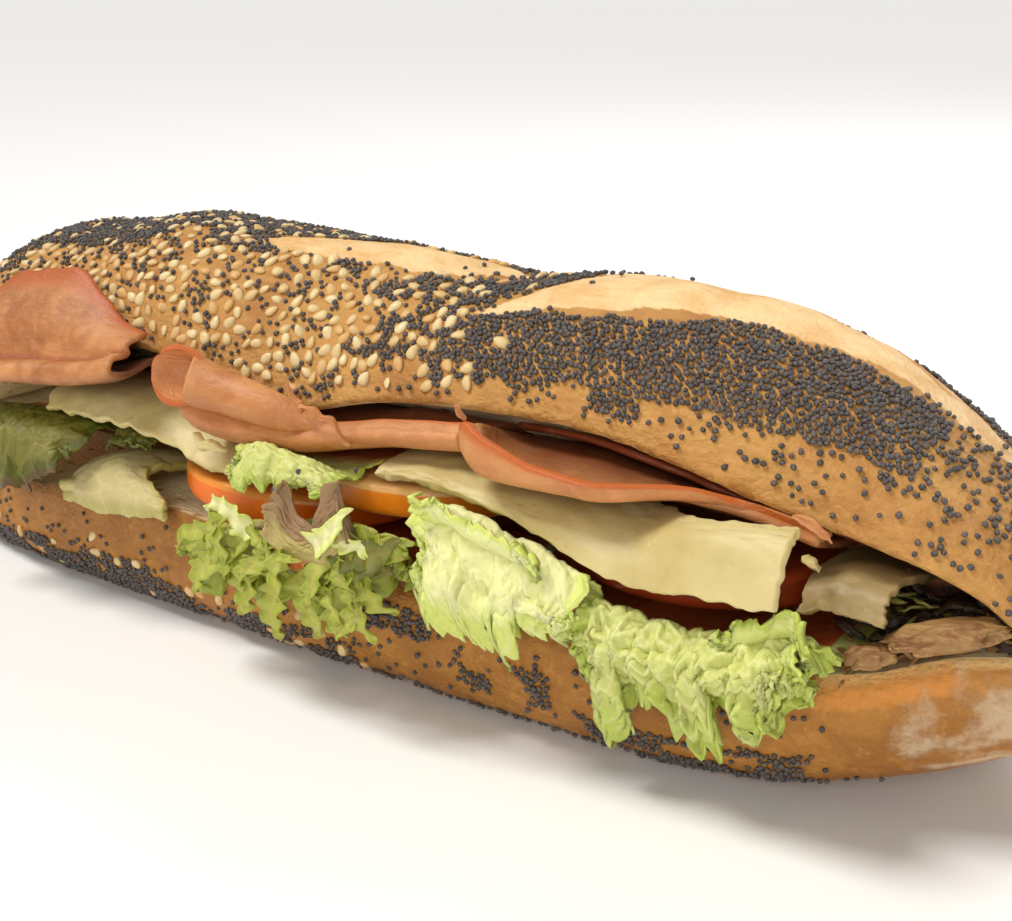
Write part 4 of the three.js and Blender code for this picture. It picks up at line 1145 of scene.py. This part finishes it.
# its inner part gets half the painted shade
crestLeft = {"from": 32.5, "to": 56, "thickness": 0.45, "fringe": 0.09, "steps": (150, 60), "torn": 0.16,
             "teeth": 4, "sideTorn": 0.5, "seed": 81, "frill": 0.6, "waves": 5, "sway": 0.4, "cell": 5,
             "drop": 14, "blister": 0.25, "crinkle": 0.1, "innerShade": 0.5}


def crestLeftSection(x):
    top = along(x, [(30, 43), (36, 45), (44, 42.2), (52, 41), (58, 37)])
    return [(-37, top - 9), (-42.5, top - 5.5), (-46.4, top - 2), (-46.6, top + 1.6)]


layLeaf("leaf_crest_left", crestLeft, crestLeftSection, leafPale, "lettuce_pale", None)

# its painted inner shade fades out towards the right end
curlyRight = {"from": 61.5, "to": 98.5, "thickness": 0.45, "fringe": 0.06, "steps": (210, 150),
              "torn": 0.12, "teeth": 2.2, "sideTorn": 2, "seed": 77, "frill": 1.3, "waves": 9, "sway": 1.2,
              "cell": 2.7, "blister": 0.95,
              "folds": ((5.2, -1.5, 0.2, 1.2), (3, 5, 0.6, 0.8)), "jag": 1.3, "unshadedEnd": 0.6}


def curlyRightSection(x):
    top = along(x, [(62.5, 32.6), (78, 32), (88, 33.6), (98, 35.4)])
    bottom = along(x, [(61.5, 18), (63.5, 9), (67, 6), (71, 9), (74, 13), (76.5, 8.6), (80, 7.2),
                       (83.5, 8.6), (86.5, 13.5), (89, 11.6), (93, 13), (98, 25)])
    middle = (top + bottom) / 2
    return [(28, over(x, 1.2)), (-31, over(x, 3)), (-37, (over(x, 2) + top) / 2 + 0.5), (-41.4, top),
            (-45.4, top - 4.5), (np.minimum(-43, crustFront(x, middle) - 6.5), middle),
            (crustFront(x, bottom) - 5, bottom)]


layLeaf("leaf_curly_right", curlyRight, curlyRightSection, leafLight, "lettuce_pale",
        "lettuce_curly_right")

# its inner part gets half the painted shade
crestRight = {"from": 84, "to": 99, "thickness": 0.45, "fringe": 0.1, "steps": (90, 60), "torn": 0.2,
              "teeth": 3, "sideTorn": 0.5, "seed": 83, "frill": 0.6, "waves": 4, "sway": 0.4, "cell": 4,
              "crinkle": 0.1, "drop": 14, "blister": 0.3, "innerShade": 0.5}


def crestRightSection(x):
    top = along(x, [(84, 34), (91, 38.6), (95, 40.6), (99, 36)])
    return [(-35, top - 8), (-40, top - 6), (-43.4, top - 3), (-43.2, top + 1)]


layLeaf("leaf_crest_right", crestRight, crestRightSection, leafLight, "lettuce_pale", None)

nightLeaf = {"from": 100, "to": 121.5, "thickness": 0.9, "steps": (110, 90), "torn": 0.1, "teeth": 2,
             "sideTorn": 0.8, "seed": 79, "frill": 0.5, "waves": 7, "sway": 0.4, "blister": 0.3,
             "tips": lambda u, v, x: waviness(x / 3, v * 6, 4)}


def nightSection(x):
    front = 8 - widthAt(x)
    share = along(x, [(100, 0.22), (106, 0.3), (112, 0.5), (121.5, 0.5)])
    rooms = [under(x, y, 0) - cutAt(x) for y in (12, -6, front)]
    return [(12, over(x, 0.5 * share * rooms[0] + 0.7)), (-6, over(x, 0.8 * share * rooms[1] + 0.4)),
            (front, over(x, share * rooms[2]))]


layLeaf("leaf_night", nightLeaf, nightSection, leafNight, "leaf_dark", "lettuce_dark")
print("salad laid")


# scraps of cooked meat
def meatFinish():
    f = Finish("cooked_meat")
    place = f.place()
    cloud = f.noise(place, 260, 4, 0.6)
    strands = f.noise(f.stretched(place, (0.15, 1, 1)), 1500, 4, 0.6)
    colour = f.blend(f.spread(cloud, 0.35, 0.7), tint(160, 122, 70), tint(124, 76, 40))
    colour = f.blend(f.spread(strands, 0.5, 0.7) * 0.6, colour, tint(190, 150, 98))
    return f.finish(Base_Color=colour, Roughness=0.5 + cloud * 0.15, Normal=f.bump(strands, 0.8, 0.0006))


def lumpPiece(name, settings, material, slot, node):
    bm = bmesh.new()
    bmesh.ops.create_icosphere(bm, subdivisions=5, radius=1)
    mesh = meshFrom(bm, name)
    p = cornersOf(mesh)
    swell = 1 + settings["bumps"] * np.sin(5 * p[:, 0] + 1) * np.sin(6 * p[:, 1]) * np.cos(4 * p[:, 2])
    torn = 1 + 0.12 * unevenness(p[:, 0] * 3 + 7, np.arctan2(p[:, 2], p[:, 1]) * 3, 4, 4)
    q = power(p, 0.8) * (swell * torn)[:, None] * np.array(settings["size"]) / 2
    turn = Matrix.Rotation(settings["turn"][1], 3, "Y") @ Matrix.Rotation(settings["turn"][0], 3, "Z")
    moveCorners(mesh, toFrame(q @ np.array(turn).T + settings["centre"]))
    pieceFrom(mesh, name, material, slot, node)


meat = meatFinish()
meatStrip = {"centre": (111.9, -26.2, 34), "size": (16.4, 8, 3.8), "turn": (0.5, -0.2), "bumps": 0.12}
meatScrap = {"centre": (102, -29.2, 29.3), "size": (7.4, 4.6, 3.2), "turn": (0.2, -0.25), "bumps": 0.2}
lumpPiece("meat_torn_strip", meatStrip, meat, "meat", "meat_strip")
lumpPiece("meat_torn_scrap", meatScrap, meat, "meat", "meat_scrap")
print("meat laid")


# small torn blades: leaflets, shreds and fibres, each a strip between two points
def bladesPiece(name, blades, settings, material, slot):
    starts, ends, widths = (np.array([blade[k] for blade in blades], float) for k in range(3))
    count = len(blades)
    across, down = settings["steps"]
    bm = bmesh.new()
    for _ in range(count):
        bmesh.ops.create_grid(bm, x_segments=across, y_segments=down, size=1)
    mesh = meshFrom(bm, name)
    flat = cornersOf(mesh).reshape(count, -1, 3)
    s, t = flat[..., 0], (flat[..., 1] + 1) / 2
    seed = np.arange(count)[:, None] * 3.7 + settings.get("seed", 1)
    reach = ends - starts
    length = np.linalg.norm(reach, axis=-1, keepdims=True)
    side = np.cross(reach, (0, -1, 0.2))
    side /= np.linalg.norm(side, axis=-1, keepdims=True)
    facing = np.cross(side, reach) / length
    opening = np.sqrt(np.clip(t * settings.get("base", 6) + 0.1, 0, 1))
    shape = opening * (1 - t ** settings.get("point", 2.2)) ** 0.7
    toothAt = t * length / settings.get("jag", 1.6) + seed * 5
    teeth = 1 - settings.get("fringe", 0.4) * jags(toothAt, seed + np.sign(s))
    half = widths[:, None] / 2 * (shape * teeth + 0.03)
    bend = settings.get("bend", 0.12) * length * unevenness(t * 1.6 + seed, seed, 3)
    arch = settings.get("arch", 0.12) * length * 4 * t * (1 - t)
    cup = settings.get("cup", 0.3) * half * (s * s - 0.4)
    cup = cup + settings.get("frill", 0.4) * np.abs(s) * np.sin(t * length * 1.9 + seed * 9 + s)
    points = starts[:, None] + reach[:, None] * t[..., None] + side[:, None] * (s * half + bend)[..., None]
    points = points + facing[:, None] * (cup + arch)[..., None]
    moveCorners(mesh, toFrame(points.reshape(-1, 3)))
    edge = np.abs(s)
    marks = {"down": 0 * s + 0.8, "net": 1 - smooth(0, 0.12, edge), "margin": smooth(0.4, 1, edge),
             "tips": smooth(0.7, 1, t) * settings.get("tipped", 0.5) + 0 * s}
    for key, value in marks.items():
        markCorners(mesh, key, value)
    pieceFrom(mesh, name, material, slot, thickness=settings["thickness"], rounding=1)


leaflets = {"steps": (6, 24), "thickness": 0.4, "fringe": 0.45, "jag": 2.7, "frill": 0.8, "bend": 0.3,
            "point": 1.5, "seed": 3}
greenLeaflets = [  # start, end and width of each
    ((-5, -46.3, 27), (-23, -46.6, 21.4), 6), ((-8, -47, 26), (-17.1, -46.6, 13.6), 7),
    ((-3, -48, 25), (-6, -47.5, 14.6), 7), ((3, -48.8, 26), (2, -47.4, 12.2), 8),
    ((9, -48.8, 27), (11, -48, 15), 8), ((14, -48.8, 29), (19, -47.2, 16.8), 8),
    ((19, -48.8, 32), (28, -47.4, 22.5), 7), ((21, -49, 36), (31, -48, 33), 7),
    ((3, -49.6, 30), (-3, -50.4, 21), 5), ((9, -50, 31), (6, -51, 21.5), 5),
    ((15, -50, 32), (15, -51, 22), 5), ((-3, -47.8, 30), (-12, -47.6, 24), 6),
    ((20, -49.6, 33), (23, -50, 24), 5), ((0, -49, 27), (-1, -50, 17.5), 4),
]
paleLeaflets = [
    ((-2, -47.4, 31), (-15, -46.6, 31.6), 6), ((13, -50.2, 33), (21.5, -50.8, 43.5), 6),
    ((18, -50.4, 36), (27, -49.8, 33.5), 4),
]
oliveLeaflets = [
    ((20, -49.4, 34.6), (31, -48.6, 38.6), 8), ((17, -48.8, 36), (30, -48.2, 33.6), 8),
]
dice = np.random.default_rng(21)
for _ in range(26):
    start = dice.uniform((-8, -49.4, 24), (24, -48.4, 34))
    way = dice.normal((0.12 * (start[0] - 8), -0.5, -5), (3.5, 0.6, 3.5))
    end = start + way / np.linalg.norm(way) * dice.uniform(5, 9)
    greenLeaflets.append((start, end, dice.uniform(3, 5.5)))
bladesPiece("leaflets_green", greenLeaflets, leaflets, leafGreen, "lettuce_red")
bladesPiece("leaflets_pale", paleLeaflets, leaflets, leafPale, "lettuce_red")
bladesPiece("leaflets_olive", oliveLeaflets, leaflets, leafOlive, "lettuce_red")

shreds = {"steps": (6, 18), "thickness": 0.9, "fringe": 0.15, "frill": 0.1, "cup": 0.2, "bend": 0.3,
          "base": 2, "seed": 7}
bladesPiece("ham_shreds", [
    ((4, -41, 52), (2, -42.6, 57), 1.2), ((38.5, -41, 56.5), (37.4, -42, 59.4), 1),
    ((16, -41, 50.6), (5, -42.4, 54), 1.3), ((90, -33, 48.6), (96, -32, 46), 2),
], shreds, hamPink, "ham")
bladesPiece("cheese_bits", [
    ((-20, -42.6, 45), (-12.5, -42, 43.2), 2.6),
    ((92, -31.4, 43.4), (94.6, -31.4, 41.8), 1.8),
], dict(shreds, thickness=1.5, fringe=0.4), cheeseCream, "cheese")


def fibres(settings):
    count = settings["count"]
    dice = np.random.default_rng(settings["seed"])
    spots = dice.uniform(settings["low"], settings["high"], (count, 3))
    spots[:, 1] -= widthAt(spots[:, 0])
    spots[:, 2] += cutAt(spots[:, 0])
    way = dice.normal(0, 1, (count, 3)) * (1.6, 0.5, 0.55)
    way *= dice.uniform(*settings["long"], (count, 1)) / np.linalg.norm(way, axis=-1, keepdims=True)
    return [(a, a + b, w) for a, b, w in zip(spots, way, dice.uniform(*settings["wide"], count))]


threads = {"steps": (4, 10), "thickness": 0.45, "fringe": 0.3, "jag": 2.5, "frill": 0.15, "bend": 0.25,
           "base": 2, "tipped": 1, "seed": 11}
# low and high: along the roll, in from its front and up from the cut
meatFibres = {"count": 64, "low": (97, 2, 0.3), "high": (124, 10, 2), "long": (2, 4.5),
              "wide": (0.5, 1.4), "seed": 5}
darkShreds = {"count": 84, "low": (96, 3.5, 0.3), "high": (121, 24, 6), "long": (3, 6),
              "wide": (0.7, 2.2), "seed": 6}
greenStalks = {"count": 14, "low": (98, 8, 4), "high": (112, 16, 10), "long": (2.5, 6),
               "wide": (0.6, 1.3), "seed": 8}
bladesPiece("meat_fibres", fibres(meatFibres), threads, meat, "meat")
bladesPiece("dark_shreds", fibres(darkShreds), threads, leafNight, "leaf_dark")
bladesPiece("green_stalks", fibres(greenStalks), threads, leafOlive, "lettuce_green")

# what the gap between the halves shows: ham behind the slices, in the darkened ham finish that paints their
# shade
hidden = {"from": -96, "to": 120, "thickness": 0.8, "steps": (120, 12)}


def hiddenSection(x):
    top = under(x, -4, 0.8)
    return [(-4, over(x, 0.6)), (-4, (over(x, 0.6) + top) / 2), (-4, top)]


sheetPiece("ham_hidden", hidden, hiddenSection, hamShaded, "ham", None)

# a rolled end of ham whose slanting mouth shows its inside
hamCurl = {"path": [(-24, -46.6, 55.6), (-22, -43.2, 54.8), (-14, -41.8, 53.2), (-2, -40.6, 51.2),
                    (9, -37.4, 48.8)],
           "radius": [(0, 5.1), (0.15, 4.6), (0.4, 3.8), (0.75, 2.6), (1, 0.5)], "from": 1, "to": 7.2,
           "slant": 6.5, "steps": (76, 52), "thickness": 1}


def curlPiece(name, settings, material, slot):
    across, down = settings["steps"]
    bm = bmesh.new()
    bmesh.ops.create_grid(bm, x_segments=across, y_segments=down, size=1)
    mesh = meshFrom(bm, name)
    flat = (cornersOf(mesh)[:, :2] + 1) / 2
    t, turn = flat[:, 0], settings["from"] + (settings["to"] - settings["from"]) * flat[:, 1]
    keys = np.linspace(0, 1, len(settings["path"]))
    columns = [list(zip(keys, column)) for column in zip(*settings["path"])]
    spot, ahead = (np.stack([along(t + step, column) for column in columns], -1) for step in (-0.01, 0.01))
    forward = ahead - spot
    forward /= np.linalg.norm(forward, axis=-1, keepdims=True)
    side = np.cross((0, 0, 1), forward)
    side /= np.linalg.norm(side, axis=-1, keepdims=True)
    radius = along(t, settings["radius"]) * (1 + 0.04 * unevenness(t * 6, turn * 1.5, 5))
    cutBack = settings["slant"] * (0.5 + 0.5 * np.cos(turn - 4.9)) ** 1.3 * (1 - smooth(0, 0.5, t))
    points = (spot + ahead) / 2 + forward * cutBack[:, None]
    outward = side * np.sin(turn)[:, None] + np.cross(forward, side) * np.cos(turn)[:, None]
    points = points + outward * radius[:, None]
    moveCorners(mesh, toFrame(points))
    markCorners(mesh, "down", np.clip(1 - t, 0.62, 0.99))
    pieceFrom(mesh, name, material, slot, thickness=settings["thickness"], rounding=1)


curlPiece("ham_rolled_end", hamCurl, hamPink, "ham")

seedsOnLeaves = {"places": [(19, -44.6, 45.8), (4.5, -48.9, 40.6), (9, -47.6, 44.4)], "size": 0.55,
                 "seed": 3}


def looseSeeds(name, settings, material, slot):
    places, seed = np.array(settings["places"]), settings["seed"]
    mesh = manyBalls(len(places), 2)
    balls = cornersOf(mesh).reshape(len(places), -1, 3)
    dice = np.random.default_rng(seed)
    rough = 1 + 0.3 * unevenness(balls[..., 0] * 2 + balls[..., 2], balls[..., 1] * 2, seed)
    scale = settings["size"] * dice.uniform(0.6, 1.2, (len(places), 1, 3))
    points = places[:, None] + balls * rough[..., None] * scale
    moveCorners(mesh, toFrame(points.reshape(-1, 3)))
    markCorners(mesh, "shade", np.repeat(dice.uniform(0, 1, len(places)), balls.shape[1]))
    pieceFrom(mesh, name, material, slot)


looseSeeds("poppy_on_leaves", seedsOnLeaves, shines["poppy"], "crust_upper")
print("small pieces laid")


# floor, light and camera
def flatPiece(name, size, height, material):
    bm = bmesh.new()
    bmesh.ops.create_grid(bm, x_segments=1, y_segments=1, size=size)
    bmesh.ops.translate(bm, verts=bm.verts, vec=(0, 0, height))
    mesh = meshFrom(bm, name)
    mesh.materials.append(material)
    piece = bpy.data.objects.new(name, mesh)
    bpy.context.scene.collection.objects.link(piece)


floorFinish = Finish("pale_floor")
floorLook = floorFinish.finish(Base_Color=tint(246, 246, 246), Roughness=0.9)
flatPiece("floor", size=40, height=-0.0002, material=floorLook)


sunlight = {"energy": 2.58, "angle": 0.36, "colour": (1, 0.97, 0.92), "from": (-0.45, -0.3, 0.87)}
softLights = {
    "back_light": {"at": (0.35, 0.7, 0.7), "aim": (0, 0, 0.04), "size": 0.5, "watts": 4,
                   "colour": (1, 0.98, 0.95)},
    "front_light": {"at": (0.5, -0.9, 0.45), "aim": (0, 0, 0.03), "size": 0.6, "watts": 4.8,
                    "colour": (1, 0.95, 0.88)},
}
skyStrength = 0.25


def softLight(name, settings):
    data = bpy.data.lights.new(name, "AREA")
    data.shape = "DISK"
    data.size = settings["size"]
    data.energy = settings["watts"]
    data.color = settings["colour"]
    lamp = bpy.data.objects.new(name, data)
    lamp.location = settings["at"]
    ahead = Vector(settings["aim"]) - Vector(settings["at"])
    lamp.rotation_euler = ahead.to_track_quat("-Z", "Y").to_euler()
    bpy.context.scene.collection.objects.link(lamp)


sun = bpy.data.lights.new("key_light", "SUN")
sun.energy = sunlight["energy"]
sun.angle = sunlight["angle"]
sun.color = sunlight["colour"]
sunLamp = bpy.data.objects.new("key_light", sun)
sunLamp.rotation_euler = Vector(sunlight["from"]).to_track_quat("Z", "Y").to_euler()
bpy.context.scene.collection.objects.link(sunLamp)
for name, settings in softLights.items():
    softLight(name, settings)
world = bpy.data.worlds.new("soft_room")
world.use_nodes = True
world.node_tree.nodes["Background"].inputs["Color"].default_value = (1, 1, 1, 1)
world.node_tree.nodes["Background"].inputs["Strength"].default_value = skyStrength
bpy.context.scene.world = world
bpy.context.scene.view_settings.view_transform = "Standard"

view = {"aim": (40, -32, 48), "distance": 242, "azimuth": 35, "elevation": 18.5,
        "focalPixels": 1500, "widePixels": 1012, "sensor": 36}
azimuth, elevation = math.radians(view["azimuth"]), math.radians(view["elevation"])
backward = Vector((math.sin(azimuth) * math.cos(elevation), -math.cos(azimuth) * math.cos(elevation),
                   math.sin(elevation)))
lens = bpy.data.cameras.new("camera")
lens.sensor_width = view["sensor"]
lens.lens = view["focalPixels"] / view["widePixels"] * view["sensor"]
lens.clip_start = 0.005
camera = bpy.data.objects.new("camera", lens)
camera.location = Vector(toFrame(view["aim"])) + backward * view["distance"] * 0.001
camera.rotation_euler = backward.to_track_quat("Z", "Y").to_euler()
bpy.context.scene.collection.objects.link(camera)
bpy.context.scene.camera = camera
